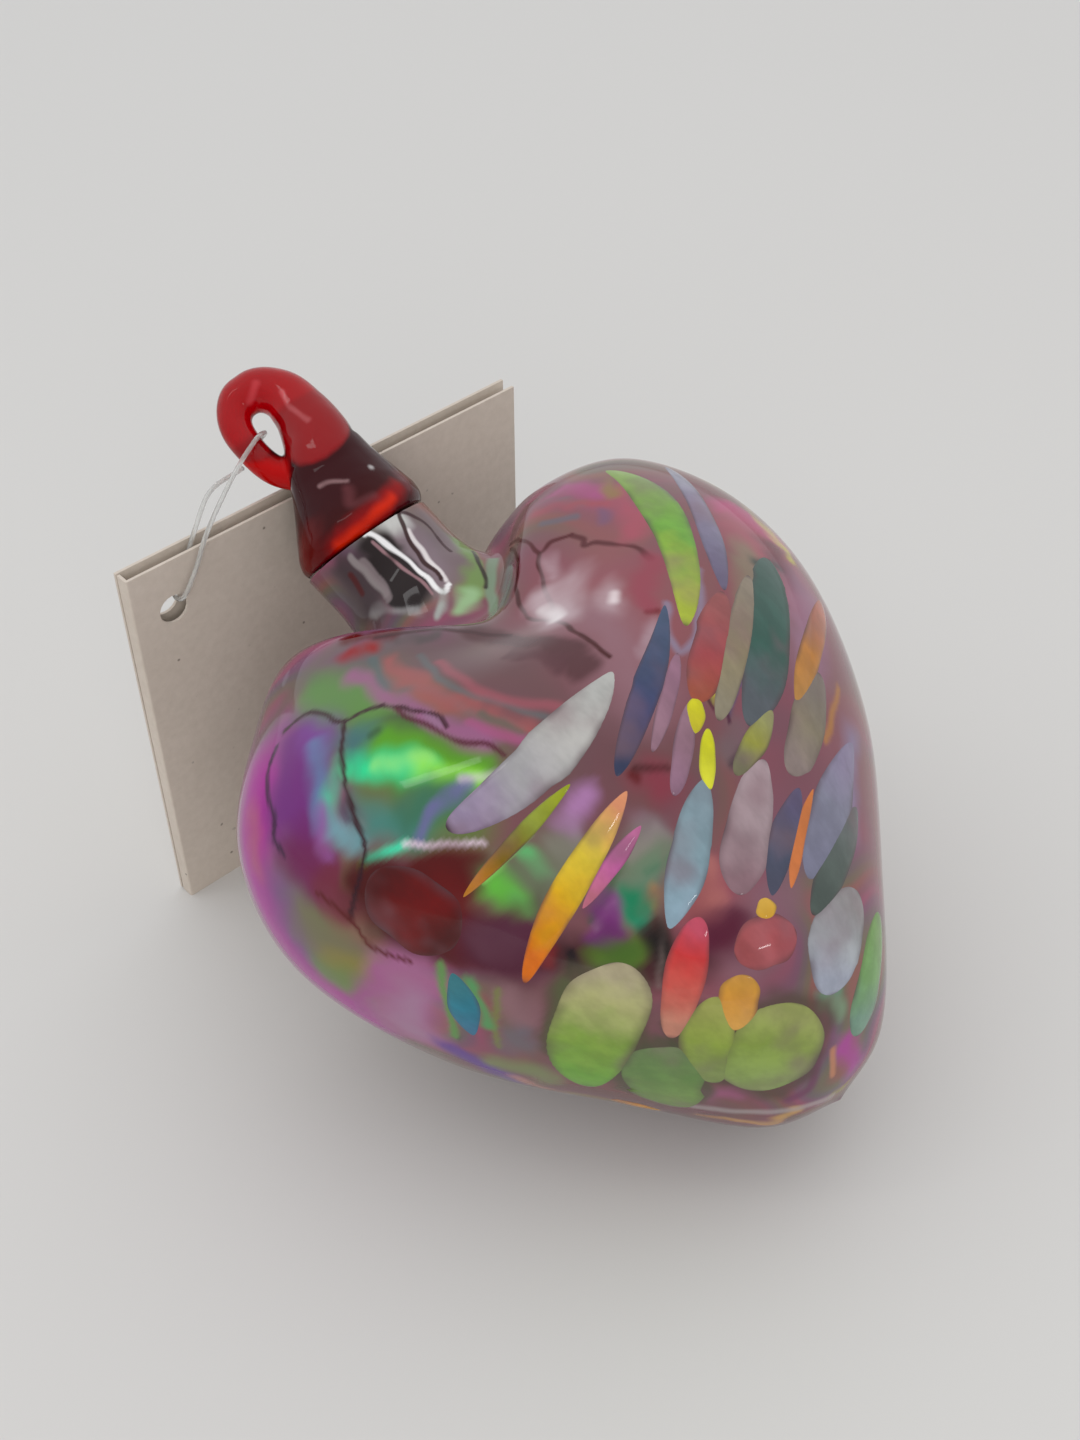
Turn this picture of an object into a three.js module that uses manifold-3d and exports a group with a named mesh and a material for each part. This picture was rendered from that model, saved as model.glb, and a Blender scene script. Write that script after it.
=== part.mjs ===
// Hanging glass heart: a blown heart with glass chips in its wall, a red hanging loop, and a folded
// paper tag on a clear string. Millimetres, +Z up.
//
// The heart lies on its back face with its neck raised, and the stem of its loop rests on the top
// edge of the tag, which stands on its lower edge. Inside the heart group the tip is the origin,
// +Z runs up the neck, +X to the right lobe, and -Y is the front face.

import * as THREE from 'three';
import { mergeVertices } from 'three/addons/utils/BufferGeometryUtils.js';
import Module from 'manifold-3d';

const wasm = await Module();
wasm.setup();

// Heart
const heartHalfWidth = 39;
const heartHalfDepth = 29.7;
const lobeHeight = 78.7;
const valleyHeight = 67.5;
const tipRadius = 8.1;
const wall = 3;
const neckRadius = 8.5;
const neckHeight = 88.6;
const neckLength = 12.6;
const neckStraight = 7.6;
const neckSlump = 4.2;
const neckLean = 0.6;

// How much further out and higher the right lobe's shoulder stands than the left one's
const rightReach = 3.5;
const rightRise = 3;

// How the heart lies
const neckRise = THREE.MathUtils.degToRad(29);
const heartRoll = THREE.MathUtils.degToRad(-9.6);

// Cap and hanging loop
const capRim = 8.8;
const capHeight = 9;
const capTaper = 3.5;
const plugDepth = 5;
const stemRadius = 4.3;
const loopTopRadius = 2.7;
const loopEndRadius = 1.9;
const loopHeight = 21.7;
const eyeReach = 4.8;
const stemReach = 2.6;
const stemForward = 2.9;

// Glass chips
const chipDepth = 1.0;
const chipProud = 0.15;
const pocketOver = 1.5;

// Tag
const tagWidth = 61.2;
const tagHeight = 56;
const paper = 0.4;
const spineDepth = 1.9;
const tagHole = 4;
const holeFromFold = 5.6;
const holeFromTop = 7.1;
const tagLeft = 29.6;
const tagTurn = THREE.MathUtils.degToRad(-1.4);
const tagLean = THREE.MathUtils.degToRad(4.6);

// String
const stringDiameter = 0.6;

// Space between pieces that touch
const clearance = 0.3;

// Number of facets
const bodyColumns = 36;
const outerSteps = 25;
const innerSteps = 13;
const capSides = 20;

const glass = (colour, roughness = 0.08) =>
  new THREE.MeshStandardMaterial({ color: colour, roughness, metalness: 0 });

function toManifold(geometry) {
  const plain = geometry.clone();
  plain.deleteAttribute('normal');
  plain.deleteAttribute('uv');
  const merged = mergeVertices(plain, 1e-4);
  return new wasm.Manifold(new wasm.Mesh({
    numProp: 3,
    vertProperties: Float32Array.from(merged.attributes.position.array),
    triVerts: Uint32Array.from(merged.index.array),
  }));
}

function toGeometry(solid) {
  const mesh = solid.getMesh();
  const geometry = new THREE.BufferGeometry();
  geometry.setAttribute('position', new THREE.BufferAttribute(mesh.vertProperties, 3));
  geometry.setIndex(new THREE.BufferAttribute(mesh.triVerts, 1));
  geometry.computeVertexNormals();
  return geometry;
}

// A closed skin over rings of points that turn anticlockwise round the way they advance.
// The first and the last ring are closed by a fan to their middle.
function skin(rings) {
  const count = rings[0].length;
  const positions = [];
  const index = [];
  for (const ring of rings) {
    for (const point of ring) positions.push(point.x, point.y, point.z);
  }
  for (let i = 0; i + 1 < rings.length; i += 1) {
    for (let j = 0; j < count; j += 1) {
      const next = (j + 1) % count;
      const a = i * count + j;
      const b = i * count + next;
      index.push(a, b, b + count);
      index.push(a, b + count, a + count);
    }
  }
  for (const end of [0, rings.length - 1]) {
    const middle = new THREE.Vector3();
    for (const point of rings[end]) middle.add(point);
    middle.divideScalar(count);
    const centre = positions.length / 3;
    positions.push(middle.x, middle.y, middle.z);
    for (let j = 0; j < count; j += 1) {
      const a = end * count + j;
      const b = end * count + ((j + 1) % count);
      if (end === 0) index.push(centre, b, a);
      else index.push(centre, a, b);
    }
  }
  const geometry = new THREE.BufferGeometry();
  geometry.setAttribute('position', new THREE.Float32BufferAttribute(positions, 3));
  geometry.setIndex(index);
  return geometry;
}

// Heart outline, from the tip up: [radius, height] through the lobes and through the face, and what
// the right lobe adds to the first. A low softness makes the crease between the two sharp.
const outline = [
  {
    side: [tipRadius, tipRadius * 0.34],
    face: [tipRadius, tipRadius * 0.34],
    right: [0, 0],
    softness: 0.5,
  },
  {
    side: [heartHalfWidth * 0.44, lobeHeight * 0.165],
    face: [heartHalfDepth * 0.67, valleyHeight * 0.193],
    right: [0, 0],
    softness: 0.5,
  },
  {
    side: [heartHalfWidth * 0.817, lobeHeight * 0.394],
    face: [heartHalfDepth * 0.858, valleyHeight * 0.459],
    right: [0, 0],
    softness: 0.5,
  },
  {
    side: [heartHalfWidth, lobeHeight * 0.645],
    face: [heartHalfDepth, valleyHeight * 0.68],
    right: [rightReach * -0.08, 0],
    softness: 0.45,
  },
  {
    side: [heartHalfWidth * 0.932, lobeHeight * 0.813],
    face: [heartHalfDepth * 0.857, valleyHeight * 0.83],
    right: [rightReach * 0.5, rightRise * 0.4],
    softness: 0.35,
  },
  {
    side: [heartHalfWidth * 0.714, lobeHeight * 0.929],
    face: [heartHalfDepth * 0.636, valleyHeight * 0.914],
    right: [rightReach, rightRise],
    softness: 0.2,
  },
  {
    side: [heartHalfWidth * 0.471, lobeHeight],
    face: [heartHalfDepth * 0.521, valleyHeight * 0.966],
    right: [rightReach * 0.1, rightRise * 0.15],
    softness: 0.12,
  },
  {
    side: [neckRadius + 4, lobeHeight * 0.931],
    face: [neckRadius + 2.8, valleyHeight],
    right: [rightReach * -0.6, rightRise * 1.25],
    softness: 0.12,
  },
  {
    side: [neckRadius + 0.9, neckHeight - neckLength],
    face: [neckRadius + 0.9, neckHeight - neckLength],
    right: [0, 0],
    softness: 0.5,
  },
  {
    side: [neckRadius, neckHeight - neckStraight],
    face: [neckRadius, neckHeight - neckStraight],
    right: [0, 0],
    softness: 0.5,
  },
  {
    side: [neckRadius, neckHeight],
    face: [neckRadius, neckHeight],
    right: [0, 0],
    softness: 0.5,
  },
];
const neckRows = 3;

// The outline moved inwards by the wall, for the inside of the heart.
function inset(rows, depth) {
  const moved = (key) => rows.map((row, i) => {
    const before = i > 0 ? rows[i - 1][key] : [0, 0];
    const after = i + 1 < rows.length ? rows[i + 1][key] : row[key];
    const run = [after[0] - before[0], after[1] - before[1]];
    const length = Math.hypot(run[0], run[1]);
    const radius = row[key][0] - depth * run[1] / length;
    return [radius, row[key][1] + depth * run[0] / length];
  });
  const side = moved('side');
  const face = moved('face');
  return rows.map((row, i) => ({ ...row, side: side[i], face: face[i] }));
}

// The curve from the tip to the top of the neck at one angle: 0 is the front, 90 the right lobe.
function meridian(rows, tipHeight, angle) {
  const across = Math.abs(Math.sin(angle));
  const ahead = Math.abs(Math.cos(angle));
  const toRight = Math.max(0, Math.sin(angle));
  const fullness = 2.05;
  const points = [new THREE.Vector3(0, 0, tipHeight)];
  rows.forEach((row, i) => {
    const soft = row.softness;
    const turn = (Math.hypot(across, soft) - soft) / (Math.hypot(1, soft) - soft);
    const share = turn ** 1.25;
    let height = row.face[1] + (row.side[1] - row.face[1] + row.right[1] * toRight) * share;
    let radius = row.side[0] + row.right[0] * toRight;
    let lean = 0;
    const neckRow = i - (rows.length - neckRows);
    if (neckRow < 0) {
      const sum = (across / radius) ** fullness + (ahead / row.face[0]) ** fullness;
      radius = sum ** (-1 / fullness);
    } else {
      height -= slumpAt(angle) * neckRow / (neckRows - 1);
      lean = leanAt(row.side[1]);
    }
    points.push(new THREE.Vector3(radius * Math.sin(angle) - lean, -radius * Math.cos(angle), height));
  });
  return new THREE.CatmullRomCurve3(points, false, 'centripetal');
}

// The neck's end leans: its front is lower than its back.
function slumpAt(angle) {
  return neckSlump * (1 + Math.cos(angle)) / 2;
}

// How far the middle of the neck lies to the left at a height.
function leanAt(height) {
  return neckLean * THREE.MathUtils.clamp(1 + (height - neckHeight) / neckLength, 0, 1);
}

const stations = outline.length;

// A point of the heart's surface. Station 0 is the tip, 4 the widest belly, 7 the lobe tops.
function surface(angle, station) {
  return meridian(outline, 0, angle).getPoint(station / stations);
}

function surfaceFrame(angle, station) {
  const step = 0.01;
  const point = surface(angle, station);
  const alongAngle = surface(angle + step, station).sub(surface(angle - step, station)).divideScalar(2 * step);
  const alongStation = surface(angle, station + step).sub(surface(angle, station - step)).divideScalar(2 * step);
  const normal = alongAngle.clone().cross(alongStation).normalize();
  return { point, alongAngle, alongStation, normal };
}

// Moves a place on the surface sideways by a distance in millimetres.
function besides(angle, station, heading, distance) {
  const frame = surfaceFrame(angle, station);
  const sideways = frame.normal.clone().cross(heading).normalize().multiplyScalar(distance);
  const aa = frame.alongAngle.dot(frame.alongAngle);
  const as = frame.alongAngle.dot(frame.alongStation);
  const ss = frame.alongStation.dot(frame.alongStation);
  const ra = frame.alongAngle.dot(sideways);
  const rs = frame.alongStation.dot(sideways);
  const scale = aa * ss - as * as;
  return [angle + (ra * ss - rs * as) / scale, station + (rs * aa - ra * as) / scale];
}

function heartShell() {
  const inner = inset(outline, wall);
  const ringOf = (curves, share) => curves.map((curve) => curve.getPoint(share));
  const angles = Array.from({ length: bodyColumns }, (_, i) => i / bodyColumns * 2 * Math.PI);
  const outside = angles.map((angle) => meridian(outline, 0, angle));
  const inside = angles.map((angle) => meridian(inner, wall, angle));
  const rings = [];
  const firstShare = 0.35 / stations;
  for (let i = 0; i <= outerSteps; i += 1) {
    rings.push(ringOf(outside, firstShare + (1 - firstShare) * i / outerSteps));
  }
  for (let i = innerSteps; i >= 0; i -= 1) {
    rings.push(ringOf(inside, firstShare + (1 - firstShare) * i / innerSteps));
  }
  return toManifold(skin(rings));
}

// Each chip: name, colour, width, then its start, middle and end as [angle in degrees, station].
const chips = [
  ['white_streak', 0xe6e3e4, 5.6, [3.2, 4.38], [-20.7, 4.02], [-43.6, 3.94]],
  ['olive_streak', 0x8f8a3a, 1.8, [-20.4, 3.75], [-34.9, 3.65], [-51.5, 3.55]],
  ['orange_streak', 0xe0a235, 3.4, [-11.7, 3.52], [-32.4, 3.27], [-56.8, 2.99]],
  ['pink_streak', 0xc8709f, 1.9, [-14.7, 3.28], [-25.3, 3.19], [-37.5, 3.09]],
  ['light_blue_streak', 0x87a0aa, 4.5, [3.3, 3.28], [-10.4, 2.96], [-27, 2.69]],
  ['slate_streak', 0x4b5578, 3.0, [23.3, 4.56], [2.5, 3.99], [-13.9, 3.6]],
  ['mauve_streak', 0x966e82, 1.8, [14, 4.08], [4.5, 3.81], [-4.5, 3.6]],
  ['rose_streak', 0x967382, 2.4, [9.1, 3.72], [1.7, 3.49], [-6, 3.29]],
  ['lilac_thread', 0x9088aa, 2.6, [71.1, 5.5], [50.3, 4.79], [33.6, 4.19]],
  ['lime_arc', 0x9fc04a, 4.6, [63.1, 6.05], [47.8, 5.16], [19.2, 4.19]],
  ['red_patch', 0xaf4146, 4.3, [33.7, 4.22], [19.1, 3.89], [9.9, 3.7]],
  ['yellow_fleck', 0xc8c332, 2.4, [11, 3.71], [8.2, 3.63], [5.3, 3.54]],
  ['yellow_oval', 0xcfc832, 1.9, [9.5, 3.51], [5.5, 3.35], [2.2, 3.18]],
  ['olive_band', 0x9b9173, 3.3, [42.6, 4.16], [25.6, 3.79], [12.2, 3.5]],
  ['teal_patch', 0x3c6e5f, 6.1, [51.9, 4.17], [35.1, 3.7], [18.4, 3.35]],
  ['olive_fleck', 0x969655, 2.9, [26.8, 3.35], [18.4, 3.25], [9.4, 3.16]],
  ['amber_streak', 0xbe7d37, 3.6, [64, 3.71], [46.4, 3.48], [34.1, 3.26]],
  ['grey_olive_oval', 0x877d69, 5.4, [46.4, 3.35], [35.2, 3.14], [23, 2.95]],
  ['rose_grey_oval', 0x9b878c, 5.4, [19.1, 3.13], [3.9, 2.84], [-7.1, 2.6]],
  ['navy_streak', 0x505a73, 3.3, [24.4, 2.87], [11.6, 2.69], [-1, 2.48]],
  ['orange_thread', 0xcd7841, 1.6, [29, 2.83], [15.2, 2.63], [5, 2.45]],
  ['lilac_oval', 0x878ca5, 5.9, [51.6, 2.92], [31, 2.67], [10.7, 2.43]],
  ['grey_green_streak', 0x5f6964, 3.8, [42.3, 2.6], [23.8, 2.42], [6.5, 2.27]],
  ['pale_blue_oval', 0xaaafb4, 7.8, [27.8, 2.2], [11.1, 2.02], [1.6, 1.74]],
  ['green_edge_streak', 0x7da06e, 6.2, [40.4, 2.01], [25, 1.65], [10.6, 1.24]],
  ['yellow_nub', 0xd7aa46, 2.2, [-2.5, 2.52], [-3.6, 2.46], [-4.7, 2.41]],
  ['red_pebble', 0xc34b50, 5.5, [0.2, 2.26], [-9, 2.32], [-17.9, 2.37]],
  ['red_peach_streak', 0xc84848, 4.4, [-17.9, 2.66], [-29.8, 2.48], [-47.3, 2.25]],
  ['lime_disc', 0x82aa5f, 11.4, [-11, 1.89], [-25.7, 1.71], [-49, 1.49]],
  ['lime_bead', 0x96a550, 5.4, [-27.4, 2.25], [-40.5, 2.09], [-54.8, 1.79]],
  ['orange_oval', 0xcd913c, 4.5, [-18.4, 2.26], [-24.6, 2.16], [-32.3, 2.04]],
  ['green_pebble', 0x699655, 8.8, [-50.8, 2.25], [-62, 2.11], [-88.2, 1.83]],
  ['cream_green_drop', 0xaaa573, 9.4, [-40.7, 2.78], [-54.3, 2.58], [-85.2, 2.35]],
  ['orange_base', 0xd8963c, 3.0, [-95.6, 2.21], [-101, 2.08], [-106.2, 1.91]],
  ['garnet_patch', 0x7a1420, 8.8, [-58.1, 3.99], [-58.1, 3.67], [-58.4, 3.38]],
  ['teal_crescent', 0x2f7f86, 3.3, [-62.7, 3.31], [-68.8, 3.13], [-76, 2.97]],
];

// A flat-bottomed solid that follows the heart's surface, grown on every side for its pocket.
function chipSolid([, , width, start, middle, end], grow, above, below) {
  const degree = Math.PI / 180;
  const mid = (share, k) => start[k] * (1 - share) * (1 - 2 * share)
    + middle[k] * 4 * share * (1 - share) + end[k] * share * (2 * share - 1);
  const place = (share) => [mid(share, 0) * degree, mid(share, 1)];
  const length = surface(...place(0)).distanceTo(surface(...place(1)));
  const spare = grow / length;
  const steps = 5;
  const columns = 2;
  const bluntEnd = 0.38;
  const rings = [];
  for (let i = 0; i <= steps; i += 1) {
    const share = i / steps * (1 + 2 * spare) - spare;
    const bulge = Math.sqrt(Math.max(0, 1 - (2 * i / steps - 1) ** 2));
    const half = Math.max(bluntEnd, bulge) * width / 2 + grow;
    const [angle, station] = place(share);
    const ahead = surface(...place(share + 0.02)).sub(surface(...place(share - 0.02)));
    const top = [];
    const bottom = [];
    for (let j = 0; j <= columns; j += 1) {
      const [a, s] = besides(angle, station, ahead, (2 * j / columns - 1) * half);
      const frame = surfaceFrame(a, s);
      top.push(frame.point.clone().addScaledVector(frame.normal, above));
      bottom.push(frame.point.clone().addScaledVector(frame.normal, -below));
    }
    rings.push([...top.reverse(), ...bottom]);
  }
  return toManifold(skin(rings));
}

// The red glass over the neck's end: a plug in the neck, a gather, a stem and the hanging loop. The
// stops of its middle line are [right, back, up], as shares of the loop's reach to that side, of how
// far its stem stands forward and of its height, and then the radius of the rod there.
const loopRoute = [
  [0.19, -0.45, 0.194, stemRadius * 1.25],
  [0.35, -0.9, 0.369, stemRadius * 1.16],
  [0.81, -1.03, 0.553, stemRadius],
  [1, -1.03, 0.733, (stemRadius + loopTopRadius) / 2],
  [0.85, -1, 0.88, loopTopRadius * 1.15],
  [0.08, -0.9, 0.991, loopTopRadius],
  [-0.48, -0.72, 1, loopTopRadius * 0.93],
  [-0.92, -0.52, 0.903, loopEndRadius * 1.1],
  [-1, -0.34, 0.728, loopEndRadius],
  [-0.85, -0.24, 0.562, loopEndRadius],
  [-0.4, -0.21, 0.433, loopEndRadius],
].map(([right, back, up, radius]) => ({
  at: [right * (right > 0 ? stemReach : eyeReach), back * stemForward, up * loopHeight],
  radius,
}));

// A tapering rod of round sections through the listed points.
function rod(route, sides, steps) {
  const points = route.map((stop) => new THREE.Vector3(stop.at[0], stop.at[1], stop.at[2] + neckHeight));
  const curve = new THREE.CatmullRomCurve3(points, false, 'centripetal');
  const frames = curve.computeFrenetFrames(steps, false);
  const rings = [];
  for (let i = 0; i <= steps; i += 1) {
    const share = i / steps;
    const centre = curve.getPointAt(share);
    const position = curve.getUtoTmapping(share) * (route.length - 1);
    const low = Math.min(Math.floor(position), route.length - 2);
    const radius = THREE.MathUtils.lerp(route[low].radius, route[low + 1].radius, position - low);
    const ring = [];
    for (let j = 0; j < sides; j += 1) {
      const turn = j / sides * 2 * Math.PI;
      ring.push(centre.clone()
        .addScaledVector(frames.normals[i], radius * Math.cos(turn))
        .addScaledVector(frames.binormals[i], radius * Math.sin(turn)));
    }
    rings.push(ring);
  }
  return toManifold(skin(rings));
}

function capAndLoop() {
  const plugRadius = neckRadius - wall - clearance;
  const capShape = [[0.11, 0.033], [0, 0.12], [0.04, 0.23], [0.26, 0.4], [0.54, 0.6], [0.8, 0.8], [1, 1]];
  const profile = [
    [plugRadius - 0.6, -plugDepth],
    [plugRadius, -plugDepth + 0.8],
    [plugRadius, clearance],
    ...capShape.map(([inwards, up]) => [capRim - capTaper * inwards, capHeight * up]),
  ];
  const stemRight = 1.1;
  const flatness = 0.8;
  const rings = profile.map(([radius, height]) => {
    const rise = THREE.MathUtils.clamp(height / capHeight, 0, 1);
    const lean = leanAt(neckHeight + height) * (1 - rise);
    return Array.from({ length: capSides }, (_, j) => {
      const angle = j / capSides * 2 * Math.PI;
      const depth = radius * THREE.MathUtils.lerp(1, flatness, rise);
      return new THREE.Vector3(
        radius * Math.sin(angle) + stemRight * rise - lean,
        -depth * Math.cos(angle) - stemForward * rise,
        neckHeight + height - slumpAt(angle) * (1 - rise),
      );
    });
  });
  const gather = toManifold(skin(rings));
  const overTop = 6;
  const near = rod(loopRoute.slice(0, overTop + 1), 18, 14);
  const far = rod(loopRoute.slice(overTop - 1), 14, 12);
  return gather.add(near).add(far);
}

// Tag: x along the width from the fold, y back from the front face, z up.
function leafHole() {
  const hole = new THREE.CylinderGeometry(tagHole / 2, tagHole / 2, 3 * spineDepth, 20);
  hole.translate(holeFromFold, 0, -(tagHeight - holeFromTop));
  hole.rotateX(Math.PI);
  return toManifold(hole);
}

function frontLeaf() {
  const bend = 0.35;
  const plan = new THREE.Shape();
  plan.moveTo(bend, 0);
  plan.lineTo(tagWidth, 0);
  plan.lineTo(tagWidth, paper);
  plan.lineTo(paper, paper);
  plan.lineTo(paper, spineDepth);
  plan.lineTo(0, spineDepth);
  plan.lineTo(0, bend);
  plan.quadraticCurveTo(0, 0, bend, 0);
  const leaf = new THREE.ExtrudeGeometry(plan, { depth: tagHeight, bevelEnabled: false, curveSegments: 4 });
  return toManifold(leaf).subtract(leafHole());
}

function backLeaf() {
  const leaf = new THREE.BoxGeometry(tagWidth, paper, tagHeight);
  leaf.translate(tagWidth / 2, spineDepth + clearance + paper / 2, tagHeight / 2);
  return toManifold(leaf).subtract(leafHole());
}

// The string's route in the part's own frame: round the far side of the loop, down in front of the
// tag, in at its hole and back up between the leaves to the loop.
const stringRoute = [
  [-4.3, 45.3, 60.4],
  [-3.0, 44.8, 61.1],
  [-2.3, 43.7, 62.4],
  [-2.9, 42.4, 63.6],
  [-4.4, 41.5, 64.1],
  [-6.0, 41.0, 63.6],
  [-8.2, 40.5, 62.5],
  [-13.0, 39.2, 59.4],
  [-16.4, 38.0, 57.0],
  [-18.5, 37.8, 53.9],
  [-20.74, 38.08, 50.73],
  [-21.07, 38.59, 50.17],
  [-21.18, 39.41, 49.99],
  [-21.00, 40.19, 50.28],
  [-20.63, 40.59, 50.91],
  [-18.4, 40.1, 54.1],
  [-16.2, 40.2, 57.3],
  [-12.3, 42.0, 59.7],
  [-6.0, 43.9, 59.3],
];

function stringTube() {
  const sides = 8;
  const section = new THREE.Shape();
  for (let i = 0; i < sides; i += 1) {
    const turn = i / sides * 2 * Math.PI;
    const x = stringDiameter / 2 * Math.cos(turn);
    const y = stringDiameter / 2 * Math.sin(turn);
    if (i === 0) section.moveTo(x, y);
    else section.lineTo(x, y);
  }
  section.closePath();
  const route = new THREE.CatmullRomCurve3(stringRoute.map((point) => new THREE.Vector3(...point)));
  return new THREE.ExtrudeGeometry(section, { extrudePath: route, steps: 78, bevelEnabled: false });
}

function part(name, geometry, material) {
  const mesh = new THREE.Mesh(geometry, material);
  mesh.name = name;
  return mesh;
}

// Furthest reach of the heart behind the tag's front face, for what lies below the tag's top.
function reachBehind(heart, base, along, up, back) {
  const point = new THREE.Vector3();
  const edge = 0.3;
  let furthest = -Infinity;
  heart.traverse((mesh) => {
    if (!mesh.isMesh) return;
    const places = mesh.geometry.attributes.position;
    for (let i = 0; i < places.count; i += 1) {
      point.fromBufferAttribute(places, i).applyMatrix4(mesh.matrixWorld).sub(base);
      const beside = point.dot(along) < -edge || point.dot(along) > tagWidth + edge;
      const over = point.dot(up) > tagHeight + edge;
      if (!beside && !over) furthest = Math.max(furthest, point.dot(back));
    }
  });
  return furthest;
}

function buildHeart() {
  const heart = new THREE.Group();
  let body = heartShell();
  const pieces = [];
  for (const chip of chips) {
    const pocket = chipSolid(chip, clearance, pocketOver, chipDepth + clearance);
    body = body.subtract(pocket);
    for (const piece of pieces) piece.solid = piece.solid.subtract(pocket);
    pieces.push({ name: chip[0], colour: chip[1], solid: chipSolid(chip, 0, chipProud, chipDepth) });
  }
  heart.add(part('heart_body', toGeometry(body), glass(0x6e4650)));
  heart.add(part('cap_loop', toGeometry(capAndLoop()), glass(0xa01020)));
  for (const piece of pieces) {
    heart.add(part(piece.name, toGeometry(piece.solid), glass(piece.colour, 0.2)));
  }
  heart.rotation.set(neckRise - Math.PI / 2, 0, heartRoll);
  heart.updateMatrixWorld(true);
  const lowest = new THREE.Box3().setFromObject(heart, true).min.z;
  heart.position.z = -lowest;
  heart.updateMatrixWorld(true);
  return heart;
}

function buildTag(heart) {
  const card = new THREE.MeshStandardMaterial({ color: 0xb5aa9c, roughness: 0.9, metalness: 0 });
  const tag = new THREE.Group();
  tag.add(part('tag_front_leaf', toGeometry(frontLeaf()), card));
  tag.add(part('tag_back_leaf', toGeometry(backLeaf()), card.clone()));
  const along = new THREE.Vector3(Math.cos(tagTurn), Math.sin(tagTurn), 0);
  const flatBack = new THREE.Vector3(-Math.sin(tagTurn), Math.cos(tagTurn), 0);
  const up = new THREE.Vector3(0, 0, Math.cos(tagLean)).addScaledVector(flatBack, -Math.sin(tagLean));
  const back = up.clone().cross(along);
  const base = new THREE.Vector3(-tagLeft, 0, 0);
  const settles = 3;
  for (let i = 0; i < settles; i += 1) {
    const reach = reachBehind(heart, base, along, up, back);
    base.addScaledVector(flatBack, (reach + clearance) / Math.cos(tagLean));
  }
  tag.position.copy(base);
  tag.setRotationFromMatrix(new THREE.Matrix4().makeBasis(along, back, up));
  return tag;
}

// The origin is under the middle of the part, without the string, on the surface it lies on.
const group = new THREE.Group();
const heart = buildHeart();
const assembly = new THREE.Group();
assembly.add(heart, buildTag(heart));
assembly.updateMatrixWorld(true);
const bounds = new THREE.Box3().setFromObject(assembly, true);
assembly.position.set(-(bounds.min.x + bounds.max.x) / 2, -(bounds.min.y + bounds.max.y) / 2, -bounds.min.z);
group.add(assembly);
group.add(part('tag_string', stringTube(), glass(0xd8d8d4, 0.15)));

export default group;
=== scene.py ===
# Hanging glass heart: a blown heart with glass chips in its wall, a red hanging loop and a paper tag.
# Shapes are worked out in millimetres and placed in metres. Inside the heart's own frame the tip is
# the origin, +Z runs up the neck, +X to the right lobe, and -Y is the front face.

import math

import bmesh
import bpy
import numpy as np
from mathutils import Matrix, Vector, noise


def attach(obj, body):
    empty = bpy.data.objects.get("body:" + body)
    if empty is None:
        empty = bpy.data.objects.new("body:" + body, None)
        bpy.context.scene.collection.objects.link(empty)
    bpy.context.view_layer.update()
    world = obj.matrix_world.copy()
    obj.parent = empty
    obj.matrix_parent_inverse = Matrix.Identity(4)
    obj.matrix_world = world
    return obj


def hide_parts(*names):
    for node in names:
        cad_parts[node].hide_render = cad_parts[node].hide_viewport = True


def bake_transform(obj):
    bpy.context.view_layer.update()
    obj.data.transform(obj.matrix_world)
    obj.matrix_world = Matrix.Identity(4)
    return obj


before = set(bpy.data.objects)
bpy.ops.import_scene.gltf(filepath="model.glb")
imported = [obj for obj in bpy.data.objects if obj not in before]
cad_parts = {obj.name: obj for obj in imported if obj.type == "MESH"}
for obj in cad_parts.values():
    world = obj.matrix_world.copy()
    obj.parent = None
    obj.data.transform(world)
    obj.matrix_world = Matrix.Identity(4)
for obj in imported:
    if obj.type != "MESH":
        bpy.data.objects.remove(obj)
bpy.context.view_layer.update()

MM = 0.001

# Heart
HEART_HALF_WIDTH = 39
HEART_HALF_DEPTH = 29.7
LOBE_HEIGHT = 78.7
VALLEY_HEIGHT = 67.5
TIP_RADIUS = 8.1
WALL = 3
NECK_RADIUS = 8.5
NECK_HEIGHT = 88.6
NECK_LENGTH = 12.6
NECK_STRAIGHT = 7.6
NECK_SLUMP = 4.2
NECK_LEAN = 0.6

# How much further out and higher the right lobe's shoulder stands than the left one's
RIGHT_REACH = 3.5
RIGHT_RISE = 3

# How the heart lies
NECK_RISE = math.radians(29)
HEART_ROLL = math.radians(-9.6)
HEART_PLACE = (0, -48.2988, 11.0766)

# Cap and hanging loop
CAP_RIM = 8.8
CAP_HEIGHT = 9
CAP_TAPER = 3.5
PLUG_DEPTH = 5
STEM_RADIUS = 4.3
LOOP_TOP_RADIUS = 2.7
LOOP_END_RADIUS = 1.9
LOOP_HEIGHT = 21.7
EYE_REACH = 4.8
STEM_REACH = 2.6
STEM_FORWARD = 2.9
CLEARANCE = 0.3

# Chips: how far their middle stands above the skin, how far their rim and their middle lie under it
CHIP_PROUD = 0.15
CHIP_SINK = 0.1
CHIP_DEPTH = 0.9

STRING_DIAMETER = 0.6

# Camera, at the photograph's place
CAMERA_PLACE = (-104.87, -122.32, 175.70)
CAMERA_AHEAD = (0.50110, 0.57688, -0.64506)
CAMERA_RIGHT = (0.7209, -0.6906, -0.0576)
CAMERA_LENS = 29.695
SENSOR_HEIGHT = 24

# Where the lamps point
LIT_PLACE = (0, 0, 30)

# Keeps the waves of the strokes' edges the same in every run
noise.seed_set(4)

heart_matrix = (
    Matrix.Translation(Vector(HEART_PLACE) * MM)
    @ Matrix.Rotation(NECK_RISE - math.pi / 2, 4, "X")
    @ Matrix.Rotation(HEART_ROLL, 4, "Z")
)


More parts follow.
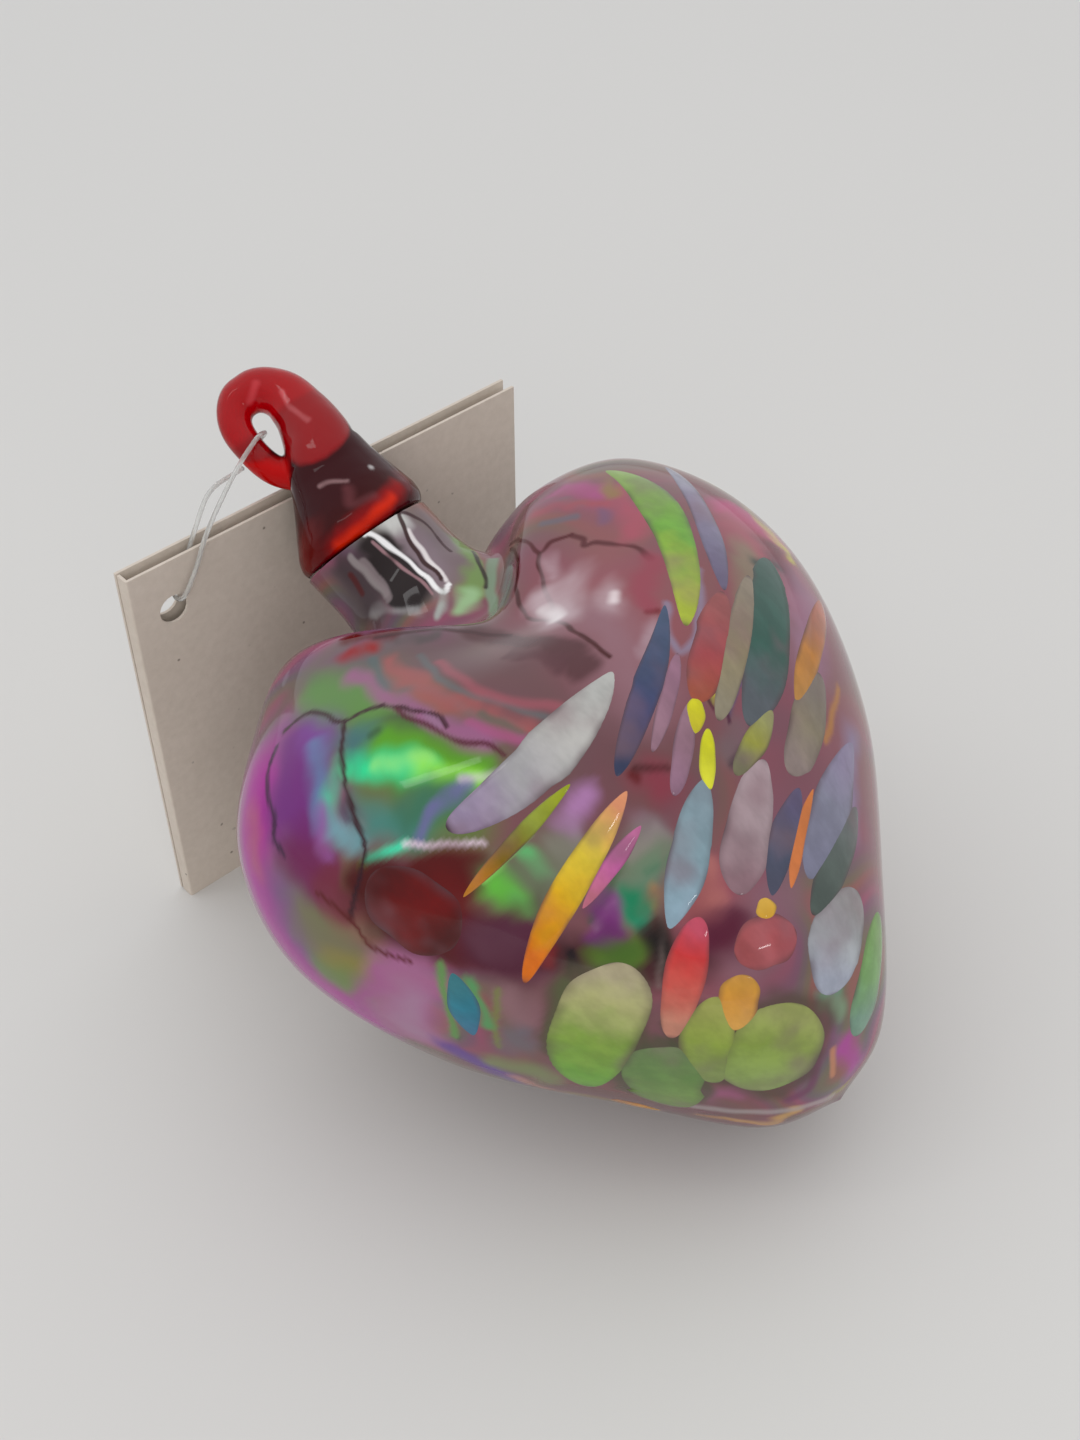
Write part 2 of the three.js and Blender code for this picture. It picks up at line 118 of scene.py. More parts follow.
def make_camera():
    data = bpy.data.cameras.new("camera")
    data.sensor_fit = "VERTICAL"
    data.sensor_height = SENSOR_HEIGHT
    data.lens = CAMERA_LENS
    data.clip_start = 0.01
    camera = bpy.data.objects.new("camera", data)
    ahead = Vector(CAMERA_AHEAD).normalized()
    right = Vector(CAMERA_RIGHT).normalized()
    over = right.cross(ahead).normalized()
    right = ahead.cross(over)
    turn = Matrix((right, over, -ahead)).transposed()
    camera.matrix_world = Matrix.Translation(Vector(CAMERA_PLACE) * MM) @ turn.to_4x4()
    bpy.context.scene.collection.objects.link(camera)
    bpy.context.scene.camera = camera


make_camera()


def add_mesh(name, points, faces, matrix=None, places=None, smooth=True):
    """A mesh object from points in millimetres. places holds a pair of numbers for each point."""
    mesh = bpy.data.meshes.new(name)
    points = np.asarray(points, float) * MM
    if matrix is not None:
        turn = np.array(matrix)
        points = points @ turn[:3, :3].T + turn[:3, 3]
    mesh.from_pydata([tuple(p) for p in points], [], faces)
    mesh.polygons.foreach_set("use_smooth", [smooth] * len(mesh.polygons))
    if places is not None:
        layer = mesh.uv_layers.new(name="place")
        corners = np.empty(len(mesh.loops), int)
        mesh.loops.foreach_get("vertex_index", corners)
        layer.data.foreach_set("uv", np.asarray(places, float)[corners].ravel())
    mesh.update()
    obj = bpy.data.objects.new(name, mesh)
    bpy.context.scene.collection.objects.link(obj)
    return obj


# The string's route: round the far side of the loop, down in front of the tag, in at its hole and back
# up between the leaves
STRING_ROUTE = [
    (-4.3, 45.3, 60.4),
    (-3.0, 44.8, 61.1),
    (-2.3, 43.7, 62.4),
    (-2.9, 42.4, 63.6),
    (-4.4, 41.5, 64.1),
    (-6.0, 41.0, 63.6),
    (-8.2, 40.5, 62.5),
    (-13.0, 39.2, 59.4),
    (-16.4, 38.0, 57.0),
    (-18.5, 37.8, 53.9),
    (-20.74, 38.08, 50.73),
    (-21.07, 38.59, 50.17),
    (-21.18, 39.41, 49.99),
    (-21.00, 40.19, 50.28),
    (-20.63, 40.59, 50.91),
    (-18.4, 40.1, 54.1),
    (-16.2, 40.2, 57.3),
    (-12.3, 42.0, 59.7),
    (-6.0, 43.9, 59.3),
]


def curve_through(points, share):
    """The centripetal curve through points (first axis) at share 0 to 1 of its spans."""
    points = np.asarray(points, float)
    share = np.asarray(share, float)
    spans = len(points) - 1
    place = share * spans
    low = np.clip(np.floor(place).astype(int), 0, spans - 1)
    t = (place - low)[..., None]
    padded = np.concatenate([2 * points[:1] - points[1:2], points, 2 * points[-1:] - points[-2:-1]])

    def stop(k):
        if points.ndim == 2:
            return padded[low + k]
        return padded[low + k, np.arange(points.shape[1])]

    p0, p1, p2, p3 = (stop(k) for k in range(4))

    def gap(a, b):
        return np.sum((b - a) ** 2, axis=-1, keepdims=True) ** 0.25

    d1 = gap(p1, p2)
    d1 = np.where(d1 < 1e-4, 1.0, d1)
    d0 = gap(p0, p1)
    d0 = np.where(d0 < 1e-4, d1, d0)
    d2 = gap(p2, p3)
    d2 = np.where(d2 < 1e-4, d1, d2)
    t1 = ((p1 - p0) / d0 - (p2 - p0) / (d0 + d1) + (p2 - p1) / d1) * d1
    t2 = ((p2 - p1) / d1 - (p3 - p1) / (d1 + d2) + (p3 - p2) / d2) * d1
    c2 = -3 * p1 + 3 * p2 - 2 * t1 - t2
    c3 = 2 * p1 - 2 * p2 + t1 + t2
    return p1 + t1 * t + c2 * t ** 2 + c3 * t ** 3


# Heart outline, from the tip up: (radius, height) through the lobes, the same through the face, what
# the right lobe adds to the first, and how soft the crease between the two is.
W, D, L, V = HEART_HALF_WIDTH, HEART_HALF_DEPTH, LOBE_HEIGHT, VALLEY_HEIGHT
R, H = RIGHT_REACH, RIGHT_RISE
NECK = [
    (NECK_RADIUS + 0.9, NECK_HEIGHT - NECK_LENGTH),
    (NECK_RADIUS, NECK_HEIGHT - NECK_STRAIGHT),
    (NECK_RADIUS, NECK_HEIGHT),
]
OUTLINE = [
    ((TIP_RADIUS, TIP_RADIUS * 0.34), (TIP_RADIUS, TIP_RADIUS * 0.34), (0, 0), 0.5),
    ((W * 0.44, L * 0.165), (D * 0.67, V * 0.193), (0, 0), 0.5),
    ((W * 0.817, L * 0.394), (D * 0.858, V * 0.459), (0, 0), 0.5),
    ((W, L * 0.645), (D, V * 0.68), (R * -0.08, 0), 0.45),
    ((W * 0.932, L * 0.813), (D * 0.857, V * 0.83), (R * 0.5, H * 0.4), 0.35),
    ((W * 0.714, L * 0.929), (D * 0.636, V * 0.914), (R, H), 0.2),
    ((W * 0.471, L), (D * 0.521, V * 0.966), (R * 0.1, H * 0.15), 0.12),
    ((NECK_RADIUS + 4, L * 0.931), (NECK_RADIUS + 2.8, V), (R * -0.6, H * 1.25), 0.12),
    *(((radius, height), (radius, height), (0, 0), 0.5) for radius, height in NECK),
]
NECK_ROWS = len(NECK)
STATIONS = len(OUTLINE)


def inset(rows, depth):
    """The outline moved inwards by the wall, for the inside of the heart."""
    def moved(k):
        out = []
        for i, row in enumerate(rows):
            before = rows[i - 1][k] if i > 0 else (0, 0)
            after = rows[i + 1][k] if i + 1 < len(rows) else row[k]
            run = (after[0] - before[0], after[1] - before[1])
            length = math.hypot(*run)
            out.append((row[k][0] - depth * run[1] / length, row[k][1] + depth * run[0] / length))
        return out
    side, face = moved(0), moved(1)
    return [(side[i], face[i], *row[2:]) for i, row in enumerate(rows)]


def slump_at(angle):
    return NECK_SLUMP * (1 + np.cos(angle)) / 2


def lean_at(height):
    """How far the middle of the neck lies to the left at a height."""
    return NECK_LEAN * min(1, max(0, 1 + (height - NECK_HEIGHT) / NECK_LENGTH))


def surface(angle, station, rows=OUTLINE, tip_height=0.0):
    """Points of the heart's surface. Station 0 is the tip, 4 the widest belly, 7 the lobe tops."""
    angle = np.atleast_1d(np.asarray(angle, float))
    station = np.atleast_1d(np.asarray(station, float))
    across, ahead = np.abs(np.sin(angle)), np.abs(np.cos(angle))
    to_right = np.clip(np.sin(angle), 0, 1)
    fullness = 2.05
    points = [np.stack([0 * angle, 0 * angle, 0 * angle + tip_height], -1)]
    for i, (side, face, right, soft) in enumerate(rows):
        turn = (np.hypot(across, soft) - soft) / (math.hypot(1, soft) - soft)
        height = face[1] + (side[1] - face[1] + right[1] * to_right) * turn ** 1.25
        radius = side[0] + right[0] * to_right
        lean = 0
        neck_row = i - (len(rows) - NECK_ROWS)
        if neck_row < 0:
            total = (across / radius) ** fullness + (ahead / face[0]) ** fullness
            radius = total ** (-1 / fullness)
        else:
            height = height - slump_at(angle) * neck_row / (NECK_ROWS - 1)
            lean = lean_at(side[1])
        points.append(np.stack([radius * np.sin(angle) - lean, -radius * np.cos(angle), height], -1))
    return curve_through(np.stack(points), np.clip(station, 0, STATIONS) / STATIONS)


def surface_frame(angle, station):
    step = 0.01
    point = surface(angle, station)
    along_angle = (surface(angle + step, station) - surface(angle - step, station)) / (2 * step)
    along_station = (surface(angle, station + step) - surface(angle, station - step)) / (2 * step)
    normal = np.cross(along_angle, along_station)
    normal /= np.linalg.norm(normal, axis=-1, keepdims=True)
    return point, along_angle, along_station, normal


def dot(a, b):
    return np.sum(a * b, axis=-1)


def besides(angle, station, heading, distance):
    """Places on the surface moved sideways by a distance in millimetres."""
    _, along_angle, along_station, normal = surface_frame(angle, station)
    sideways = np.cross(normal, heading)
    sideways = sideways / np.linalg.norm(sideways, axis=-1, keepdims=True) * distance[:, None]
    aa, ss = dot(along_angle, along_angle), dot(along_station, along_station)
    both = dot(along_angle, along_station)
    ra, rs = dot(along_angle, sideways), dot(along_station, sideways)
    scale = aa * ss - both * both
    return angle + (ra * ss - rs * both) / scale, station + (rs * aa - ra * both) / scale


def grid_faces(rows, columns, start=0, closed=True):
    faces = []
    for i in range(rows - 1):
        for j in range(columns if closed else columns - 1):
            a = start + i * columns + j
            b = start + i * columns + (j + 1) % columns
            faces.append((a, b, b + columns, a + columns))
    return faces


def make_heart():
    """The heart's skin, finest at the front, and its inside. The skin's points come first."""
    columns = 520
    turns = (np.arange(columns) / columns - 0.5) * 2 * math.pi
    angles = turns - 0.4 * np.sin(turns)
    outer_rows = np.linspace(0.05, STATIONS, 400)
    inner_rows = np.linspace(STATIONS, 0.35, 40)
    skin = [np.zeros((1, 3))]
    skin += [surface(angles, np.full(columns, station)) for station in outer_rows]
    skin = np.concatenate(skin)
    inner = inset(OUTLINE, WALL)
    inside = [surface(angles, np.full(columns, station), inner, WALL) for station in inner_rows]
    ring_count = len(outer_rows) + len(inner_rows)
    faces = [(0, 1 + (j + 1) % columns, 1 + j) for j in range(columns)]
    faces += grid_faces(ring_count, columns, start=1)
    last = 1 + (ring_count - 1) * columns
    faces.append(tuple(last + j for j in range(columns)))
    body = add_mesh("heart_glass", np.concatenate([skin, *inside]), faces, heart_matrix)
    lay_on(body.data, skin, STROKES, on_surface)
    return body


# Chips: name, width, then start, middle and end as (angle in degrees, station), and the colours from
# start to end, as they look
CHIPS = [
    ("white_streak", 5.6, [(3.2, 4.38), (-20.7, 4.02), (-43.6, 3.94)],
     [(176, 176, 172), (180, 178, 174), (168, 166, 168), (152, 136, 164)]),
    ("olive_streak", 1.8, [(-20.4, 3.75), (-34.9, 3.65), (-51.5, 3.55)],
     [(150, 160, 40), (140, 150, 60), (120, 100, 30), (185, 120, 40)]),
    ("orange_streak", 3.4, [(-11.7, 3.52), (-32.4, 3.27), (-56.8, 2.99)],
     [(225, 150, 110), (215, 190, 60), (215, 165, 20), (215, 110, 10)]),
    ("pink_streak", 1.9, [(-14.7, 3.28), (-25.3, 3.19), (-37.5, 3.09)],
     [(200, 110, 160), (195, 100, 160), (190, 110, 130)]),
    ("light_blue_streak", 4.5, [(3.3, 3.28), (-10.4, 2.96), (-27, 2.69)],
     [(130, 150, 160), (130, 155, 165), (140, 165, 180)]),
    ("slate_streak", 3, [(23.3, 4.56), (2.5, 3.99), (-13.9, 3.6)],
     [(72, 86, 112), (70, 80, 108), (62, 70, 110), (60, 66, 92)]),
    ("mauve_streak", 1.8, [(14, 4.08), (4.5, 3.81), (-4.5, 3.6)],
     [(150, 110, 130), (150, 115, 130)]),
    ("rose_streak", 2.4, [(9.1, 3.72), (1.7, 3.49), (-6, 3.29)],
     [(150, 115, 130), (145, 110, 130)]),
    ("lilac_thread", 2.6, [(71.1, 5.5), (50.3, 4.79), (33.6, 4.19)],
     [(150, 150, 165), (136, 126, 150), (122, 116, 140), (110, 100, 126)]),
    ("lime_arc", 4.6, [(63.1, 6.05), (47.8, 5.16), (19.2, 4.19)],
     [(140, 170, 90), (120, 165, 60), (110, 165, 60), (170, 185, 60)]),
    ("red_patch", 4.3, [(33.7, 4.22), (19.1, 3.89), (9.9, 3.7)],
     [(150, 84, 84), (160, 70, 74), (160, 84, 66)]),
    ("yellow_fleck", 2.4, [(11, 3.71), (8.2, 3.63), (5.3, 3.54)],
     [(205, 200, 40), (200, 190, 50)]),
    ("yellow_oval", 1.9, [(9.5, 3.51), (5.5, 3.35), (2.2, 3.18)],
     [(205, 205, 40), (215, 215, 60)]),
    ("olive_band", 3.3, [(42.6, 4.16), (25.6, 3.79), (12.2, 3.5)],
     [(140, 128, 112), (146, 134, 104), (140, 132, 112)]),
    ("teal_patch", 6.1, [(51.9, 4.17), (35.1, 3.7), (18.4, 3.35)],
     [(70, 96, 88), (58, 94, 84), (92, 98, 104)]),
    ("olive_fleck", 2.9, [(26.8, 3.35), (18.4, 3.25), (9.4, 3.16)],
     [(150, 150, 100), (155, 155, 70), (120, 120, 90)]),
    ("amber_streak", 3.6, [(64, 3.71), (46.4, 3.48), (34.1, 3.26)],
     [(185, 110, 90), (190, 125, 55), (180, 130, 70)]),
    ("grey_olive_oval", 5.4, [(46.4, 3.35), (35.2, 3.14), (23, 2.95)],
     [(130, 120, 110), (135, 125, 105), (140, 125, 120)]),
    ("rose_grey_oval", 5.4, [(19.1, 3.13), (3.9, 2.84), (-7.1, 2.6)],
     [(170, 150, 155), (155, 135, 140), (140, 110, 118)]),
    ("navy_streak", 3.3, [(24.4, 2.87), (11.6, 2.69), (-1, 2.48)],
     [(92, 84, 112), (78, 84, 104), (80, 82, 100)]),
    ("orange_thread", 1.6, [(29, 2.83), (15.2, 2.63), (5, 2.45)],
     [(205, 120, 65), (205, 120, 70)]),
    ("lilac_oval", 5.9, [(51.6, 2.92), (31, 2.67), (10.7, 2.43)],
     [(140, 130, 156), (130, 130, 148), (120, 120, 140)]),
    ("grey_green_streak", 3.8, [(42.3, 2.6), (23.8, 2.42), (6.5, 2.27)],
     [(105, 110, 110), (90, 100, 95), (80, 90, 85)]),
    ("pale_blue_oval", 7.8, [(27.8, 2.2), (11.1, 2.02), (1.6, 1.74)],
     [(150, 150, 150), (170, 175, 180), (160, 165, 180)]),
    ("green_edge_streak", 6.2, [(40.4, 2.01), (25, 1.65), (10.6, 1.24)],
     [(120, 160, 90), (120, 165, 100), (115, 150, 130)]),
    ("yellow_nub", 2.2, [(-2.5, 2.52), (-3.6, 2.46), (-4.7, 2.41)],
     [(215, 170, 70), (215, 165, 60)]),
    ("red_pebble", 5.5, [(0.2, 2.26), (-9, 2.32), (-17.9, 2.37)],
     [(170, 74, 78), (164, 90, 94), (158, 80, 82)]),
    ("red_peach_streak", 4.4, [(-17.9, 2.66), (-29.8, 2.48), (-47.3, 2.25)],
     [(190, 80, 100), (200, 60, 60), (195, 90, 80), (190, 130, 110)]),
    ("lime_disc", 11.4, [(-11, 1.89), (-25.7, 1.71), (-49, 1.49)],
     [(150, 158, 92), (136, 158, 72), (138, 160, 92)]),
    ("lime_bead", 5.4, [(-27.4, 2.25), (-40.5, 2.09), (-54.8, 1.79)],
     [(150, 154, 84), (138, 158, 68), (126, 142, 84)]),
    ("orange_oval", 4.5, [(-18.4, 2.26), (-24.6, 2.16), (-32.3, 2.04)],
     [(205, 150, 60), (205, 145, 60), (215, 160, 80)]),
    ("green_pebble", 8.8, [(-50.8, 2.25), (-62, 2.11), (-88.2, 1.83)],
     [(108, 132, 86), (104, 140, 76), (118, 150, 78)]),
    ("cream_green_drop", 9.4, [(-40.7, 2.78), (-54.3, 2.58), (-85.2, 2.35)],
     [(170, 160, 130), (170, 170, 115), (130, 160, 70), (110, 165, 60)]),
    ("orange_base", 3, [(-95.6, 2.21), (-101, 2.08), (-106.2, 1.91)],
     [(190, 140, 90), (216, 150, 66), (216, 160, 70)]),
    ("garnet_patch", 8.8, [(-58.1, 3.99), (-58.1, 3.67), (-58.4, 3.38)],
     [(80, 4, 14), (100, 6, 10), (110, 24, 10), (76, 0, 6)]),
    ("teal_crescent", 3.3, [(-62.7, 3.31), (-68.8, 3.13), (-76, 2.97)],
     [(60, 120, 130), (50, 125, 145), (60, 110, 140)]),
]

# How blunt each chip is at its start and its end: 0.5 is round, 1 comes to a point
CHIP_ENDS = {
    "white_streak": (1.0, 0.4),
    "olive_streak": (0.8, 0.9),
    "orange_streak": (0.9, 0.5),
    "pink_streak": (0.9, 0.9),
    "light_blue_streak": (0.7, 0.8),
    "slate_streak": (0.8, 0.6),
    "lime_arc": (0.9, 0.5),
    "teal_crescent": (0.9, 0.9),
    "orange_thread": (0.8, 0.8),
    "red_peach_streak": (0.6, 0.5),
    "lilac_oval": (0.8, 0.7),
    "navy_streak": (0.6, 0.8),
}


def chip_patch(name, width, stops, order):
    """A thin lens of glass that follows the heart's surface, domed a little above it."""
    steps, columns = 36, 14
    t = (1 - np.cos(np.linspace(0, math.pi, steps + 1))) / 2
    start, middle, end = (np.array((math.radians(angle), station)) for angle, station in stops)

    def place(share):
        s = np.asarray(share)[:, None]
        out = start * (1 - s) * (1 - 2 * s) + middle * 4 * s * (1 - s) + end * s * (2 * s - 1)
        return out[:, 0], out[:, 1]

    blunt_start, blunt_end = CHIP_ENDS.get(name, (0.5, 0.5))
    power = np.where(t < 0.5, blunt_start, blunt_end)
    profile = (4 * t * (1 - t)) ** power
    ahead = surface(*place(t + 0.02)) - surface(*place(t - 0.02))
    low, high, places = [], [], []
    for j in range(columns + 1):
        x = -math.cos(math.pi * j / columns)
        wave = 0.07 * np.sin(5.3 * t + 1.9 * order + 2.2 * (x > 0)) + 0.04 * np.sin(12.1 * t + 3.1 * order)
        half = width * 0.56 * profile * (1 + wave)
        angle, station = besides(*place(t), ahead, x * half)
        point, _, _, normal = surface_frame(angle, station)
        crown = math.sqrt(max(0, 1 - x * x)) * profile ** 0.6
        high.append(point + normal * (-CHIP_SINK + (CHIP_PROUD + CHIP_SINK) * crown)[:, None])
        low.append(point - normal * (CHIP_SINK + (CHIP_DEPTH - CHIP_SINK) * crown)[:, None])
        places.append(np.stack([t, np.full(steps + 1, (x + 1) / 2)], -1))
    count = columns + 1
    top = np.stack(high, 1)
    bottom = np.stack(low, 1)
    where = np.stack(places, 1).reshape(-1, 2)
    points = np.concatenate([top.reshape(-1, 3), bottom.reshape(-1, 3)])
    faces = grid_faces(steps + 1, count, closed=False)
    under = grid_faces(steps + 1, count, start=len(where), closed=False)
    faces = [tuple(reversed(f)) for f in faces] + under
    obj = add_mesh(name + "_glass", points, faces, heart_matrix, np.concatenate([where, where]))
    weld(obj)
    return obj


def weld(obj):
    """Joins points that lie on each other and turns the faces outwards."""
    bm = bmesh.new()
    bm.from_mesh(obj.data)
    bmesh.ops.remove_doubles(bm, verts=bm.verts, dist=1e-6)
    bmesh.ops.recalc_face_normals(bm, faces=bm.faces)
    bm.to_mesh(obj.data)
    bm.free()
    obj.data.update()


# The red glass: a plug in the neck, a gather, and the stem that curls into the loop. The stops are
# (right, back, up), as shares of the loop's reach to that side, of how far its stem stands forward
# and of its height, and then the radius of the rod there.
LOOP_ROUTE = [
    (0.19, -0.45, 0.194, STEM_RADIUS * 1.25),
    (0.35, -0.9, 0.369, STEM_RADIUS * 1.16),
    (0.81, -1.03, 0.553, STEM_RADIUS),
    (1, -1.03, 0.733, (STEM_RADIUS + LOOP_TOP_RADIUS) / 2),
    (0.85, -1, 0.88, LOOP_TOP_RADIUS * 1.15),
    (0.08, -0.9, 0.991, LOOP_TOP_RADIUS),
    (-0.48, -0.72, 1, LOOP_TOP_RADIUS * 0.93),
    (-0.92, -0.52, 0.903, LOOP_END_RADIUS * 1.1),
    (-1, -0.34, 0.728, LOOP_END_RADIUS),
    (-0.85, -0.24, 0.562, LOOP_END_RADIUS),
    (-0.4, -0.21, 0.433, LOOP_END_RADIUS),
]


def loop_point(right, back, up):
    """A stop of the loop's middle line in the heart's own frame, in millimetres."""
    reach = STEM_REACH if right > 0 else EYE_REACH
    return right * reach, back * STEM_FORWARD, NECK_HEIGHT + up * LOOP_HEIGHT


def tube(route, radii, sides, steps):
    """Rings of points round a curve, with no twist, and the faces between them."""
    route = np.asarray(route, float)
    share = np.linspace(0, 1, steps + 1)
    centre = curve_through(route, share)
    radius = np.interp(share * (len(route) - 1), np.arange(len(route)), radii)
    ahead = np.gradient(centre, axis=0)
    ahead /= np.linalg.norm(ahead, axis=1, keepdims=True)
    side = np.cross(ahead[0], [0.3, 0.5, 0.8])
    rings = []
    for i in range(steps + 1):
        side = side - ahead[i] * np.dot(side, ahead[i])
        side /= np.linalg.norm(side)
        other = np.cross(ahead[i], side)
        turn = np.arange(sides) / sides * 2 * math.pi
        rings.append(centre[i] + radius[i] * (np.cos(turn)[:, None] * side + np.sin(turn)[:, None] * other))
    points = np.concatenate(rings)
    faces = grid_faces(steps + 1, sides)
    faces = faces + [tuple(reversed(range(sides))), tuple(steps * sides + j for j in range(sides))]
    return points, faces


def make_cap_loop():
    plug = NECK_RADIUS - WALL - CLEARANCE
    cap_shape = [(0.11, 0.033), (0, 0.12), (0.04, 0.23), (0.26, 0.4), (0.54, 0.6), (0.8, 0.8), (1, 1)]
    profile = [
        (plug - 0.6, -PLUG_DEPTH),
        (plug, -PLUG_DEPTH + 0.8),
        (plug, CLEARANCE),
        *((CAP_RIM - CAP_TAPER * inwards, CAP_HEIGHT * up) for inwards, up in cap_shape),
    ]
    stem_right, flatness, sides = 1.1, 0.8, 72
    angle = np.arange(sides) / sides * 2 * math.pi
    rings = []
    for radius, height in profile:
        rise = min(1, max(0, height / CAP_HEIGHT))
        lean = lean_at(NECK_HEIGHT + height) * (1 - rise)
        depth = radius * (1 + (flatness - 1) * rise)
        rings.append(np.stack([
            radius * np.sin(angle) + stem_right * rise - lean,
            -depth * np.cos(angle) - STEM_FORWARD * rise,
            NECK_HEIGHT + height - slump_at(angle) * (1 - rise),
        ], -1))
    points = np.concatenate(rings)
    faces = grid_faces(len(rings), sides)
    faces += [tuple(reversed(range(sides))), tuple((len(rings) - 1) * sides + j for j in range(sides))]
    over_top = 6
    for part in (LOOP_ROUTE[: over_top + 1], LOOP_ROUTE[over_top - 1:]):
        route = [loop_point(*stop[:3]) for stop in part]
        more_points, more_faces = tube(route, [stop[3] for stop in part], 40, 48)
        faces += [tuple(i + len(points) for i in face) for face in more_faces]
        points = np.concatenate([points, more_points])
    obj = add_mesh("cap_loop_glass", points, faces, heart_matrix)
    remesh = obj.modifiers.new("fuse", "REMESH")
    remesh.mode = "VOXEL"
    remesh.voxel_size = 0.25 * MM
    soften = obj.modifiers.new("soften", "SMOOTH")
    soften.factor = 0.5
    soften.iterations = 10
    bake_modifiers(obj)
    skin = np.empty(len(obj.data.vertices) * 3)
    obj.data.vertices.foreach_get("co", skin)
    back = np.array(heart_matrix.inverted())
    skin = (skin.reshape(-1, 3) @ back[:3, :3].T + back[:3, 3]) / MM
    lay_on(obj.data, skin, CAP_STROKES, np.asarray)
    return obj


def bake_modifiers(obj):
    """Keeps the shape that an object's modifiers give it, and drops them."""
    depsgraph = bpy.context.evaluated_depsgraph_get()
    shaped = bpy.data.meshes.new_from_object(obj.evaluated_get(depsgraph))
    obj.modifiers.clear()
    old, obj.data = obj.data, shaped
    bpy.data.meshes.remove(old)
    shaped.polygons.foreach_set("use_smooth", [True] * len(shaped.polygons))


def make_string():
    points, faces = tube(STRING_ROUTE, [STRING_DIAMETER / 2] * len(STRING_ROUTE), 12, 180)
    obj = add_mesh("string_nylon", points, faces)
    path = curve_through(STRING_ROUTE, np.linspace(0, 1, 40))
    finer = curve_through(STRING_ROUTE, np.linspace(0, 1, 400))
    length = float(np.sum(np.linalg.norm(np.diff(finer, axis=0), axis=1)))
    return obj, [tuple(p * MM) for p in path], length * MM


def rgb(red, green, blue):
    """A colour given as it looks, 0 to 255, as the shader wants it."""
    def linear(c):
        c /= 255
        return c / 12.92 if c <= 0.04045 else ((c + 0.055) / 1.055) ** 2.4
    return linear(red), linear(green), linear(blue), 1.0


def under_gloss(red, green, blue):
    """A colour as it looks under the room's pale reflection, as the shader wants it without that."""
    return tuple(max(0.0, c - 0.012) * 1.03 for c in rgb(red, green, blue)[:3]) + (1.0,)


